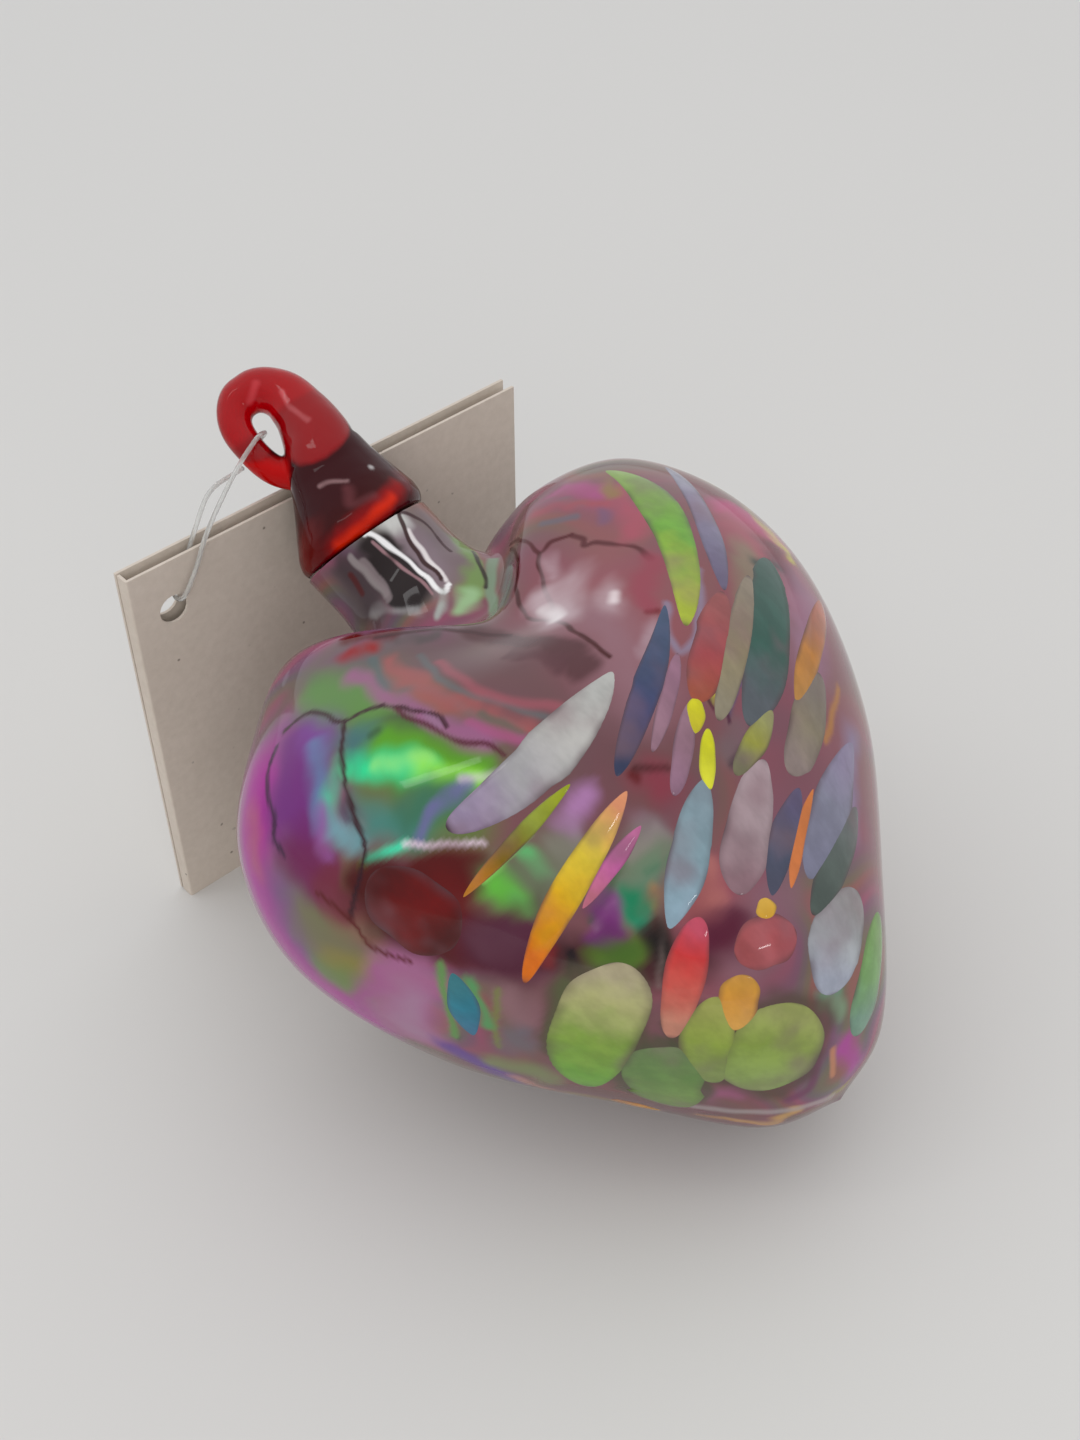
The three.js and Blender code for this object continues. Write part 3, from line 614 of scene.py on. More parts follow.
class Paint:
    """A material and short ways to add its nodes. Lengths are in metres of the piece's own frame."""

    def __init__(self, name, roughness, specular=0.5, ior=1.5):
        self.material = bpy.data.materials.new(name)
        self.material.use_nodes = True
        self.nodes = self.material.node_tree.nodes
        self.links = self.material.node_tree.links
        self.shader = self.nodes["Principled BSDF"]
        self.set("Roughness", roughness)
        self.set("Specular IOR Level", specular)
        self.set("IOR", ior)

    def feed(self, socket, value):
        if isinstance(value, bpy.types.NodeSocket):
            self.links.new(value, socket)
        else:
            socket.default_value = value

    def set(self, name, value):
        self.feed(self.shader.inputs[name], value)

    def math(self, operation, a, b=0.0, c=0.0):
        node = self.nodes.new("ShaderNodeMath")
        node.operation = operation
        for socket, value in zip(node.inputs, (a, b, c)):
            self.feed(socket, value)
        return node.outputs[0]

    def vector(self, operation, a, b=(0, 0, 0), scale=1.0):
        node = self.nodes.new("ShaderNodeVectorMath")
        node.operation = operation
        self.feed(node.inputs[0], a)
        if operation == "SCALE":
            self.feed(node.inputs[3], scale)
        else:
            self.feed(node.inputs[1], b)
        return node.outputs["Value" if operation == "DOT_PRODUCT" else "Vector"]

    def mix(self, share, under, over):
        node = self.nodes.new("ShaderNodeMix")
        node.data_type = "RGBA"
        self.feed(node.inputs["Factor"], share)
        self.feed(node.inputs["A"], under)
        self.feed(node.inputs["B"], over)
        return node.outputs["Result"]

    def steps(self, value, low, high, to_low=0.0, to_high=1.0):
        node = self.nodes.new("ShaderNodeMapRange")
        node.interpolation_type = "SMOOTHSTEP"
        for socket, number in zip(node.inputs, (value, low, high, to_low, to_high)):
            self.feed(socket, number)
        return node.outputs[0]

    def ramp(self, value, stops, interpolation="EASE"):
        node = self.nodes.new("ShaderNodeValToRGB")
        node.color_ramp.interpolation = interpolation
        elements = node.color_ramp.elements
        while len(elements) < len(stops):
            elements.new(0.5)
        for element, (place, colour) in zip(elements, stops):
            element.position = place
            element.color = colour
        self.feed(node.inputs[0], value)
        return node.outputs[0]

    def place(self):
        return self.nodes.new("ShaderNodeTexCoord").outputs["Object"]

    def heart_place(self):
        """The place in the heart's own frame."""
        back = heart_matrix.inverted()
        node = self.nodes.new("ShaderNodeMapping")
        self.feed(node.inputs["Vector"], self.place())
        node.inputs["Rotation"].default_value = back.to_euler()
        node.inputs["Location"].default_value = back.translation
        return node.outputs[0]

    def laid(self):
        """How far along and how far across its chip a place lies, 0 to 1."""
        node = self.nodes.new("ShaderNodeUVMap")
        node.uv_map = "place"
        split = self.nodes.new("ShaderNodeSeparateXYZ")
        self.links.new(node.outputs[0], split.inputs[0])
        return split.outputs[0], split.outputs[1]

    def laid_on(self):
        """The colour that is laid over the skin, and how much of it shows."""
        node = self.nodes.new("ShaderNodeAttribute")
        node.attribute_name = "laid_on"
        return node.outputs["Color"], node.outputs["Alpha"]

    def noise(self, where, size, detail=2.0, roughness=0.5, colour=False):
        """Noise whose largest features are about size metres across."""
        node = self.nodes.new("ShaderNodeTexNoise")
        self.feed(node.inputs["Vector"], where)
        node.inputs["Scale"].default_value = 1 / size
        node.inputs["Detail"].default_value = detail
        node.inputs["Roughness"].default_value = roughness
        return node.outputs["Color" if colour else "Fac"]

    def warped(self, where, size, amount, detail=2.0):
        push = self.vector("SUBTRACT", self.noise(where, size, detail, colour=True), (0.5, 0.5, 0.5))
        return self.vector("ADD", where, self.vector("SCALE", push, scale=amount))

    def bump(self, height, depth, strength=1.0):
        node = self.nodes.new("ShaderNodeBump")
        node.inputs["Strength"].default_value = strength
        node.inputs["Distance"].default_value = depth * MM
        self.feed(node.inputs["Height"], height)
        self.links.new(node.outputs[0], self.shader.inputs["Normal"])

    def onto(self, *objects):
        for obj in objects:
            obj.data.materials.clear()
            obj.data.materials.append(self.material)


# Colours of the thin film in the order in which they follow each other
FILM = [
    (0.0, rgb(140, 84, 104)),
    (0.2, rgb(166, 76, 120)),
    (0.36, rgb(120, 84, 122)),
    (0.5, rgb(92, 104, 108)),
    (0.64, rgb(104, 116, 88)),
    (0.8, rgb(150, 98, 84)),
    (1.0, rgb(140, 84, 104)),
]

# What is painted on the body, from under to over: colour, width in millimetres, how soft its
# edge is, how strong it is, and its places as (angle in degrees, station)
STROKES = [
    # Plain glass: darker towards the left, rosier to the right
    ((104, 74, 78), 18.9, 1, 0.8, (-22.5, 5.36), (-8.8, 4.01)),
    ((148, 82, 90), 16.6, 1, 0.8, (23.3, 5.52), (16.1, 4.51)),
    ((146, 108, 118), 6.9, 1, 0.8, (8.5, 5.01), (1.8, 4.01)),
    ((150, 78, 92), 7.4, 0.9, 0.8, (-8.7, 2.74), (-24.1, 2.46)),
    ((148, 98, 106), 14, 1, 0.7, (72, 4.03), (56.1, 3.12), (53.4, 2.28)),
    ((132, 96, 108), 6.4, 0.9, 0.8, (-17.2, 2.34), (1.1, 2.45)),
    # Left edge
    ((150, 84, 136), 14, 0.7, 0.9, (-73.7, 5.54), (-81.5, 4.85), (-88, 4.19), (-93, 3.6)),
    ((168, 0, 146), 8, 0.7, 1, (-74, 5.3), (-80, 4.77), (-84, 4.29), (-87, 3.84), (-90, 3.5)),
    ((120, 84, 130), 7, 0.9, 0.9, (-76.4, 4.27), (-80.4, 3.86)),
    ((176, 90, 110), 3.1, 1, 0.6, (-77, 5.08), (-80.1, 4.64)),
    ((118, 116, 84), 8, 0.8, 0.9, (-73.7, 3.96), (-75.3, 3.58)),
    ((138, 128, 60), 4.2, 0.8, 0.8, (-76.9, 3.7), (-73.3, 3.56)),
    ((104, 136, 66), 4.7, 0.9, 0.8, (-82.9, 3.73), (-81.4, 3.62)),
    ((160, 60, 140), 1.9, 0.6, 0.9, (-67.9, 3.52), (-79, 3.5), (-88, 3.48)),
    # Purple hollow at the left
    ((112, 36, 122), 9.9, 0.5, 0.95, (-59.9, 5.29), (-64.5, 4.87)),
    ((122, 66, 150), 4.7, 0.8, 0.8, (-57.5, 5.48), (-56.7, 5.22)),
    ((110, 30, 84), 6.2, 0.7, 0.9, (-67.5, 4.48), (-66.7, 4.23)),
    ((116, 48, 62), 4.1, 0.8, 0.9, (-65.3, 4.14), (-66.1, 3.94)),
    ((126, 100, 74), 2.5, 0.8, 0.8, (-60.2, 4.15), (-62.5, 4)),
    ((92, 140, 176), 2.4, 1, 0.7, (-57.3, 5.2), (-61.5, 4.7)),
    ((80, 200, 160), 2.4, 1, 0.85, (-54.4, 4.88), (-58.5, 4.7)),
    ((116, 164, 176), 2.8, 0.9, 0.85, (-59.5, 4.5), (-58, 4.25)),
    ((70, 56, 84), 1.8, 1, 0.7, (-55.5, 4.75), (-55.5, 4.5)),
    ((150, 90, 160), 1.8, 1, 0.7, (-61.4, 4.66), (-63.5, 4.33)),
    ((84, 60, 90), 1.4, 0.8, 0.8, (-56.3, 4.67), (-56.4, 4.51)),
    # Green sheen: a painted highlight, the window's reflection coloured green and cyan by the film, with
    # thin bright painted highlight lines
    ((84, 128, 48), 11.5, 0.7, 0.95, (-43.3, 4.93), (-40.2, 4.22)),
    ((72, 84, 60), 3, 1, 0.8, (-47, 5.25), (-38, 5)),
    ((64, 110, 116), 4.6, 0.8, 0.9, (-49.5, 5.12), (-50, 4.88)),
    ((88, 158, 30), 4.6, 0.8, 0.95, (-44.6, 4.81), (-35.1, 4.27)),
    ((40, 224, 150), 2.6, 1, 0.95, (-52.4, 4.78), (-44.2, 4.62), (-40.5, 4.46)),
    ((150, 232, 70), 2.2, 1, 0.85, (-41, 4.47), (-35.5, 4.18)),
    ((108, 100, 44), 2.3, 0.9, 0.8, (-51, 4.51), (-46.9, 4.33)),
    ((66, 132, 122), 5, 0.9, 0.9, (-53, 4.31), (-46.8, 4.11)),
    ((58, 108, 84), 4.5, 0.9, 0.8, (-46.5, 4.24), (-41.2, 4.15)),
    ((112, 104, 160), 1.5, 0.8, 0.8, (-46.7, 4), (-37.8, 4.16)),
    ((92, 140, 66), 6, 0.8, 0.9, (-57.1, 5.89), (-45, 5.44)),
    ((160, 90, 140), 2.7, 0.8, 0.8, (-49.9, 5.89), (-40.3, 5.5), (-32.2, 4.75), (-29.3, 4.44)),
    ((150, 110, 140), 1.3, 0.8, 0.8, (-35.1, 4.95), (-34.3, 4.79)),
    ((46, 66, 40), 0.9, 1, 0.6, (-46.7, 5.03), (-45.2, 5.03)),
    ((226, 206, 222), 0.9, 1, 0.5, (-36.2, 4.2), (-33, 4.12), (-29, 4.05)),
    ((150, 200, 40), 1.3, 0.9, 0.9, (-58.8, 4.05), (-61, 3.93)),
    ((60, 230, 180), 0.9, 1, 0.9, (-57.5, 4.08), (-50.5, 4)),
    ((232, 206, 224), 0.65, 1, 0.8, (-50.5, 4), (-46, 3.88), (-40.5, 3.74)),
    ((170, 230, 110), 1.4, 1, 0.5, (-47, 4.7), (-43, 4.6), (-39.5, 4.52)),
    # Thin film fringes on the upper left lobe
    ((88, 104, 104), 1.2, 0.8, 0.8,
     (-43.9, 6.16), (-41.6, 5.68), (-32.6, 5.27), (-27.8, 4.76), (-22.2, 4.33)),
    ((166, 88, 88), 2.3, 0.9, 0.8, (-39.1, 6.01), (-34.1, 5.43), (-27.8, 4.93), (-20.4, 4.3)),
    ((96, 104, 106), 0.9, 0.8, 0.7, (-31.8, 6.02), (-29.7, 5.38), (-21.7, 4.7), (-15.2, 4.2)),
    ((160, 84, 96), 1.3, 0.8, 0.7, (-27.8, 5.75), (-23.5, 4.96), (-13.2, 4.32)),
    ((84, 96, 84), 0.9, 0.8, 0.7, (-26.2, 4.7), (-21, 4.11)),
    ((170, 84, 130), 1.1, 0.8, 0.7, (-28.9, 4.65), (-23.4, 4.25), (-19, 4.13)),
    # Dark reflections over the valley
    ((84, 50, 54), 3, 0.5, 0.9, (-11.9, 6.52), (-6.3, 5.59), (-2.7, 4.5)),
    ((88, 52, 58), 2, 0.5, 0.8, (-12, 5.41), (-6.8, 4.7)),
    ((112, 100, 94), 3, 0.9, 0.7, (-78.2, 5.84), (-64.1, 6.14), (-50.3, 6.67)),
    ((96, 12, 20), 2.2, 0.6, 0.95, (-50.3, 6.69), (-37.8, 6.64)),
    ((150, 14, 26), 2, 0.9, 1, (-50, 6.34), (-44, 6.36)),
    # Garnet neighbours, dark plum and grey green behind the streaks
    ((88, 4, 12), 4.8, 0.5, 1, (-57.5, 3.82), (-50, 3.76), (-46.5, 3.66)),
    ((78, 2, 10), 7, 0.5, 1, (-60.3, 3.9), (-61.5, 3.6), (-57, 3.4)),
    ((100, 14, 24), 5, 0.6, 0.9, (-52, 3.62), (-55.8, 3.35)),
    ((78, 30, 50), 6, 0.7, 0.95, (-55, 3.27), (-51.5, 3.08)),
    ((54, 22, 30), 4.4, 0.8, 0.85, (-46.6, 2.98), (-36.5, 2.67), (-25.1, 2.48)),
    ((104, 66, 80), 3.4, 1, 0.7, (-53.6, 3.31), (-51.5, 3.27)),
    ((102, 118, 88), 6.1, 0.8, 0.9, (-43.1, 3.47), (-36.4, 3.34)),
    ((176, 126, 176), 2.7, 0.8, 0.9, (-26.4, 3.52), (-20.2, 3.58)),
    ((150, 150, 140), 2.1, 0.9, 0.6, (-31.9, 3.46), (-28.5, 3.42)),
    # Small painted glints of green light
    ((100, 190, 66), 2.8, 0.9, 0.9, (-45.5, 3.52), (-46, 3.38)),
    ((86, 210, 120), 1.9, 1, 0.8, (-36.6, 3.5), (-37.3, 3.41)),
    ((104, 186, 92), 1.8, 1, 0.8, (-45.9, 3.39), (-45.2, 3.3)),
    ((86, 94, 70), 2.1, 0.9, 0.7, (-43, 3.31), (-38.6, 3.35)),
    ((120, 40, 44), 1.9, 0.8, 0.9, (-49.9, 2.99), (-46.3, 3.02)),
    ((150, 112, 120), 3.2, 0.9, 0.6, (-61.6, 2.99), (-62.3, 2.91)),
    ((108, 108, 120), 3.6, 0.9, 0.8, (-68.3, 2.86), (-71.9, 2.78)),
    ((120, 128, 72), 0.8, 0.7, 0.8, (-60.7, 3.06), (-75, 2.85)),
    ((84, 132, 60), 1.6, 0.8, 0.8, (-51.1, 2.84), (-66, 2.68)),
    ((24, 20, 28), 0.9, 0.9, 0.8, (-44.6, 2.96), (-49, 2.87)),
    # Film along the lower left
    ((166, 104, 144), 8.2, 0.6, 0.95, (-71.2, 3.4), (-84.5, 3.24)),
    ((168, 132, 160), 3.7, 1, 0.7, (-75.1, 3.35), (-84.5, 3.24)),
    ((96, 150, 80), 1, 0.7, 0.9, (-63.4, 3.36), (-70, 3.2), (-78.3, 3.05)),
    ((84, 156, 96), 1.5, 0.8, 0.9, (-63.6, 3.2), (-70.4, 3.01)),
    ((98, 62, 146), 3.6, 0.7, 0.95, (-84.6, 3.06), (-85.8, 2.87), (-95.3, 2.7)),
    ((122, 108, 98), 3.4, 0.8, 0.8, (-93, 3.2), (-94, 3), (-98, 2.8)),
    ((124, 140, 90), 3.6, 0.8, 0.8, (-81.7, 2.76), (-84.6, 2.57)),
    ((196, 140, 124), 2.2, 0.8, 0.8, (-91, 2.68), (-100, 2.45)),
    ((164, 146, 70), 1.6, 0.8, 0.8, (-98, 2.4), (-103, 2.1)),
    # Veins in the middle
    ((100, 134, 110), 4.6, 0.9, 0.85, (-19.9, 3.03), (-28.2, 2.97)),
    ((196, 140, 168), 1.7, 0.9, 0.8, (-18.8, 3.17), (-15.4, 3.14)),
    ((44, 112, 84), 0.9, 1, 0.7, (-15.6, 3), (-20.9, 3.02)),
    ((20, 140, 104), 1.9, 0.9, 0.9, (-26.2, 2.97), (-29.9, 2.83)),
    ((152, 70, 150), 1.7, 0.9, 0.85, (-29.5, 3.02), (-37.5, 2.93)),
    ((98, 44, 98), 1.7, 0.8, 0.9, (-34.3, 2.94), (-38.8, 2.92)),
    ((176, 140, 166), 0.8, 1, 0.5, (-31, 3.02), (-37, 2.97)),
    ((36, 38, 34), 2.7, 0.6, 0.95, (-31.4, 2.73), (-31.3, 2.66)),
    ((92, 128, 44), 2.8, 0.7, 0.9, (-41.6, 2.82), (-35.6, 2.77)),
    ((164, 124, 84), 1.2, 0.9, 0.8, (-22.3, 2.92), (-24.6, 2.85)),
    ((104, 72, 62), 1.7, 0.9, 0.8, (-25.1, 2.8), (-27.8, 2.74)),
    ((120, 104, 100), 0.7, 1, 0.5, (-13.8, 3.1), (-19.2, 2.93), (-28.9, 2.69), (-36.8, 2.52)),
    ((38, 92, 52), 0.8, 1, 0.6, (-23.7, 3.17), (-30.9, 3.07), (-36.9, 3.02)),
    ((120, 118, 104), 4.6, 1, 0.7, (-30.5, 3.42), (-36, 3.36)),
    ((150, 226, 110), 0.6, 1, 0.8, (-45, 3.56), (-35, 3.63), (-26, 3.71)),
    ((150, 120, 140), 2.6, 1, 0.7, (-16.4, 3.25), (-14.5, 3.14)),
    ((130, 100, 84), 1.6, 1, 0.8, (-23.5, 2.9), (-22.3, 2.84)),
    ((104, 50, 100), 2.6, 1, 0.8, (-33, 3.02), (-35, 2.94)),
    ((70, 100, 44), 2.6, 0.9, 0.8, (-38.5, 2.84), (-37, 2.8)),
    ((36, 24, 34), 1, 1, 0.8, (-45, 2.94), (-47, 2.82)),
    ((84, 40, 60), 4.6, 1, 0.8, (-50.5, 3.33), (-48.5, 3.22)),
    # Between the streaks on the right
    ((192, 120, 112), 2.8, 0.9, 0.7, (-9, 2.86), (-12, 2.69)),
    ((96, 46, 64), 3.5, 0.8, 0.9, (-18.8, 2.54), (-13.6, 2.52)),
    ((124, 150, 120), 2.4, 0.7, 0.85, (-1.9, 1.75), (2.1, 1.58)),
    ((104, 150, 120), 1.6, 0.8, 0.8, (-1.2, 1.83), (5.7, 1.73)),
    ((170, 70, 150), 3.7, 0.7, 0.95, (3, 1.24), (10.6, 0.98)),
    ((190, 130, 100), 0.9, 0.7, 0.9, (-6.2, 1.33), (-12.3, 1.06)),
    ((160, 90, 130), 2.6, 0.9, 0.7, (-66, 1.77), (-58.9, 1.62)),
    ((196, 150, 84), 1.6, 0.6, 0.9, (-69.8, 1.14), (-52.9, 1.02)),
    ((200, 150, 90), 1.6, 0.7, 0.8, (-93.1, 1.64), (-78.2, 1.14)),
    ((150, 150, 70), 2, 0.8, 0.8, (-20, 0.6), (0, 0.5)),
    ((170, 160, 160), 1.2, 0.8, 0.7, (-80.7, 1.78), (-64.4, 1.29), (-30.6, 0.53)),
    ((112, 60, 92), 1.3, 0.7, 0.8, (-13.9, 1.43), (-28.4, 1.15), (-45.4, 1.18)),
    # Dark rings round the lime pieces: painted shade round their edges
    ((84, 70, 60), 14, 0.15, 0.8, (-24, 1.73), (-30, 1.67)),
    ((84, 78, 60), 11.6, 0.15, 0.8, (-51, 2.63), (-62, 2.52)),
    ((80, 70, 56), 7.6, 0.15, 0.8, (-38, 2.12), (-44, 2.02)),
    ((76, 80, 60), 10.6, 0.15, 0.8, (-60, 2.13), (-68, 2.05)),
    # Threads and smears of the right lobe
    ((140, 70, 86), 2.6, 1, 0.8, (41.1, 4.37), (29.9, 4.03)),
    ((140, 130, 162), 3.6, 1, 0.8, (50.1, 2.9), (33.4, 2.53)),
    ((112, 100, 104), 3.2, 1, 0.7, (14, 3.34), (10, 3.3)),
    ((140, 56, 72), 4, 1, 0.8, (-7.3, 3.45), (-6.5, 3.35)),
    ((112, 130, 104), 4, 1, 0.7, (-18.8, 3.15), (-17, 3.1)),
    ((24, 124, 84), 2.4, 1, 0.85, (-27, 2.91), (-25.5, 2.98)),
    ((120, 44, 120), 2.2, 1, 0.85, (-31.4, 3.01), (-30, 3.06)),
    ((150, 84, 84), 3.4, 1, 0.8, (-11.7, 2.79), (-16.4, 2.7)),
    ((34, 26, 28), 2.6, 0.9, 0.9, (-31.7, 2.74), (-29.5, 2.72)),
    ((86, 30, 50), 4.6, 0.9, 0.85, (-16.6, 2.5), (-14, 2.5)),
    ((140, 128, 150), 0.9, 0.9, 0.85,
     (22.1, 4.5), (15.1, 4.24), (14.2, 4.1), (18.5, 4.06), (24.9, 4.21), (34.6, 4.51)),
    ((150, 142, 66), 0.9, 1, 0.8, (29.9, 4.03), (21.5, 3.84), (13.7, 3.64)),
    ((70, 74, 104), 0.9, 0.9, 0.9, (45.5, 4.14), (35.2, 3.91), (25.6, 3.71), (15.8, 3.51)),
    ((60, 48, 54), 0.9, 1, 0.7, (10.3, 3.23), (18.8, 3.31), (28.1, 3.38)),
    ((96, 16, 30), 1.1, 1, 0.9, (-10.7, 3.57), (-10.2, 3.53)),
    # Right shoulder
    ((186, 70, 124), 5, 0.7, 0.95, (59.5, 4.73), (62.8, 4.31)),
    ((172, 84, 100), 8, 0.9, 0.7, (54.4, 4.48), (51.7, 3.77)),
    ((206, 180, 110), 2.5, 0.7, 0.9, (64.4, 4.38), (61.6, 4.15)),
    ((200, 190, 50), 2, 0.6, 0.95, (61.6, 4.15), (59.9, 3.99)),
    ((170, 150, 100), 2, 0.9, 0.7, (72, 5.1), (69, 4.7), (65, 4.4)),
    ((134, 122, 100), 3.2, 0.8, 0.8, (49.7, 4.33), (35.3, 4.03), (19.6, 3.67)),
    ((110, 66, 76), 3, 0.7, 0.85, (57.3, 4.23), (52.9, 3.92)),
    ((20, 14, 18), 1.6, 0.5, 1, (45.7, 4.03), (47.8, 3.93)),
    ((20, 12, 16), 1, 0.5, 1, (39.1, 3.94), (45.9, 3.81)),
    ((36, 66, 60), 2, 0.8, 0.9, (48.5, 4.19), (51.4, 4.05)),
    ((168, 178, 206), 0.75, 0.6, 0.95, (38.1, 3.96), (32.1, 3.82), (25.6, 3.71), (17.3, 3.55)),
    ((80, 84, 116), 0.6, 0.6, 0.8, (37, 3.9), (26.8, 3.69), (18.5, 3.55)),
    ((206, 196, 50), 0.9, 0.7, 0.9, (29.1, 4.02), (21.4, 3.8), (15.5, 3.68)),
    ((156, 116, 140), 6.9, 0.8, 0.85, (53.4, 3.76), (43.8, 3.45)),
    ((186, 130, 60), 1, 0.8, 0.7, (51.4, 3.21), (39.2, 3)),
    # Dark contour lines of the lobes
    ((58, 14, 36), 0.6, 0.5, 0.95,
     (-67, 5.69), (-61.2, 5.71), (-56.4, 5.61), (-51.5, 5.35), (-47, 5.37), (-42.9, 5.32)),
    ((64, 18, 40), 0.55, 0.5, 0.95, (-42.9, 5.32), (-38, 5.12), (-33.4, 4.85), (-33, 4.73)),
    ((56, 14, 36), 0.6, 0.5, 0.95,
     (-51.5, 5.35), (-52.9, 5.04), (-54.1, 4.75), (-55.3, 4.41), (-55.9, 4.22), (-59.3, 4.05),
     (-67.3, 3.86)),
    ((60, 20, 60), 0.75, 0.5, 0.9, (-68.6, 5.56), (-71.1, 5.24), (-70.6, 4.9), (-71.7, 4.7), (-71.4, 4.54)),
    ((90, 20, 30), 0.6, 0.5, 0.9, (-68.9, 4.13), (-67.4, 3.85), (-69, 3.68), (-66.5, 3.48)),
    ((84, 26, 44), 0.6, 0.7, 0.9,
     (-40.5, 5.2), (-38.5, 4.98), (-36, 4.8), (-33, 4.55), (-28.5, 4.36), (-27.4, 4.2)),
    ((84, 22, 34), 0.6, 0.5, 0.95, (47.2, 7.58), (35.2, 7.04), (29.3, 6.54), (34.2, 6.33), (36.5, 6.04)),
    ((84, 22, 34), 0.75, 0.5, 0.9,
     (36.5, 6.04), (34.9, 5.83), (32.9, 5.76), (34.5, 5.56), (34.3, 5.3), (32.3, 4.96)),
    ((76, 16, 30), 0.6, 0.5, 0.95, (28.9, 6.53), (23.2, 6.44), (16.9, 6.16), (8.7, 5.71), (5.1, 5.47)),
    ((72, 22, 30), 0.6, 0.5, 0.95,
     (43.7, 7.6), (24.4, 7.09), (13.7, 6.91), (4.4, 5.96), (4.7, 5.45), (3.8, 5.01), (2.6, 4.49)),
    ((110, 20, 36), 0.9, 0.6, 0.9, (17.7, 4.58), (18.8, 4.52)),
    ((64, 20, 28), 0.8, 1, 0.7, (-9.5, 3.59), (-6.9, 3.52), (-3.7, 3.45)),
    ((80, 40, 60), 0.55, 0.5, 0.9, (15.1, 3.46), (17, 3.65), (25.2, 3.8), (33.7, 3.97)),
    ((84, 40, 56), 0.55, 0.5, 0.9, (13.2, 3.53), (13, 3.61), (19.8, 3.83), (27.8, 4.04)),
    # Painted highlights on the right lobe: a bright spot of window light with a soft halo, and soft pale
    # painted reflections round it
    ((206, 186, 192), 3.4, 1, 0.7, (13.7, 6.06), (7, 5.5)),
    ((246, 240, 240), 1.5, 1, 0.95, (10, 5.8), (7, 5.55)),
    ((196, 174, 180), 4.6, 1, 0.6, (21, 5.75), (13.5, 5.55)),
    ((196, 174, 180), 3, 1, 0.55, (20, 5.05), (15, 4.95)),
    ((200, 176, 184), 1.8, 1, 0.6, (27, 6.35), (23, 6.2)),
    ((182, 162, 172), 2, 1, 0.6, (14.5, 4.45), (10, 4.35)),
    ((236, 222, 224), 1.1, 1, 0.8, (18.5, 5.03), (16.5, 4.98)),
    # Pink and teal waves on the right lobe
    ((168, 78, 128), 2.6, 0.8, 0.9, (56.2, 6.6), (51.7, 5.84)),
    ((96, 104, 108), 1.7, 0.8, 0.85, (49.9, 6.7), (47.2, 6)),
    ((166, 76, 88), 2, 0.9, 0.8, (46.7, 6.85), (47.6, 5.72)),
    ((104, 100, 112), 1.2, 0.8, 0.8, (40.8, 6.61), (42.8, 6.07)),
    ((170, 78, 96), 3.2, 0.9, 0.85, (52.5, 5.66), (38.3, 5.22)),
    ((116, 84, 116), 1.7, 0.9, 0.8, (43.6, 5.72), (42.6, 5.68)),
    ((142, 118, 70), 1.9, 0.8, 0.85, (58.6, 6.03), (51.5, 5.7)),
    ((104, 60, 64), 2.4, 0.8, 0.8, (52.6, 7.47), (58.2, 6.61)),
    ((150, 66, 82), 2.2, 0.8, 0.8, (31.5, 4.96), (19.5, 4.63)),
    # Neck: a painted reflection of a dark window, with painted highlights along its bright wavy edges, and
    # a green band round its foot
    ((88, 72, 76), 6, 0.8, 0.95, (-53.3, 10.59), (-50.1, 9.08)),
    ((134, 116, 124), 5.8, 0.8, 0.95, (8.2, 10.78), (0.8, 8.83)),
    ((122, 104, 108), 2.6, 0.8, 0.9, (39.8, 10.69), (22.7, 8.99)),
    ((206, 206, 202), 2.5, 0.9, 0.95, (-3.4, 10.99), (10.7, 10.88)),
    ((70, 56, 60), 3.5, 0.7, 0.9, (-44.4, 10.83), (-46.4, 9.73)),
    ((38, 0, 6), 4.6, 0.3, 1, (-20, 10.6), (-18.5, 8.92)),
    ((38, 0, 6), 3, 0.3, 1, (-31, 10.3), (-26, 8.76)),
    ((246, 244, 244), 0.6, 0.5, 1,
     (-17.9, 11.05), (-11.9, 10.81), (-10.3, 10.44), (-7.9, 9.86), (-8.1, 9.01), (-6.7, 8.68),
     (1.6, 8.65)),
    ((170, 130, 136), 0.4, 0.5, 0.8, (-17, 10.8), (-15.5, 10.43), (-15.3, 9.83), (-11.6, 8.65)),
    ((232, 224, 224), 0.6, 0.6, 0.95, (12.6, 10.6), (9.6, 10.13), (4.9, 9.39), (2, 8.72)),
    ((56, 18, 28), 0.6, 0.4, 0.95, (17.5, 11.04), (9.2, 10.56), (1.4, 9.59), (-0.7, 8.78)),
    ((60, 24, 34), 0.55, 0.4, 0.9, (18, 11.05), (26, 10.79), (31, 10.37), (24.1, 9.31)),
    ((146, 136, 136), 0.9, 0.5, 0.9, (-38.9, 10.81), (-37.9, 10.37), (-38.7, 9.42)),
    ((136, 122, 124), 0.9, 0.5, 0.8, (-33.4, 10.61), (-34.1, 10.16), (-38.2, 9.23)),
    ((84, 12, 24), 0.9, 0.6, 0.9, (-49.2, 10.49), (-52.5, 10.1)),
    ((120, 150, 86), 2.5, 0.5, 0.95, (46, 9.68), (26.2, 8.67), (11.3, 8.39)),
    ((158, 194, 144), 2, 0.7, 0.95, (10.8, 8.4), (-5.7, 8.25)),
    ((176, 182, 176), 1.4, 0.7, 0.9, (-4.4, 8.56), (-17.4, 8.41)),
    ((150, 146, 146), 1.4, 0.8, 0.8, (-53.7, 9.19), (-28.5, 8.59)),
    ((128, 152, 126), 1.3, 0.5, 0.9, (45.4, 8.3), (18.4, 8.13), (-4.4, 7.24)),
    ((112, 112, 114), 2.6, 0.8, 0.85, (36, 7.74), (8.6, 7.4)),
    ((44, 20, 24), 0.6, 0.5, 0.9, (42.1, 8.91), (32.2, 8.52), (18.5, 8.26)),
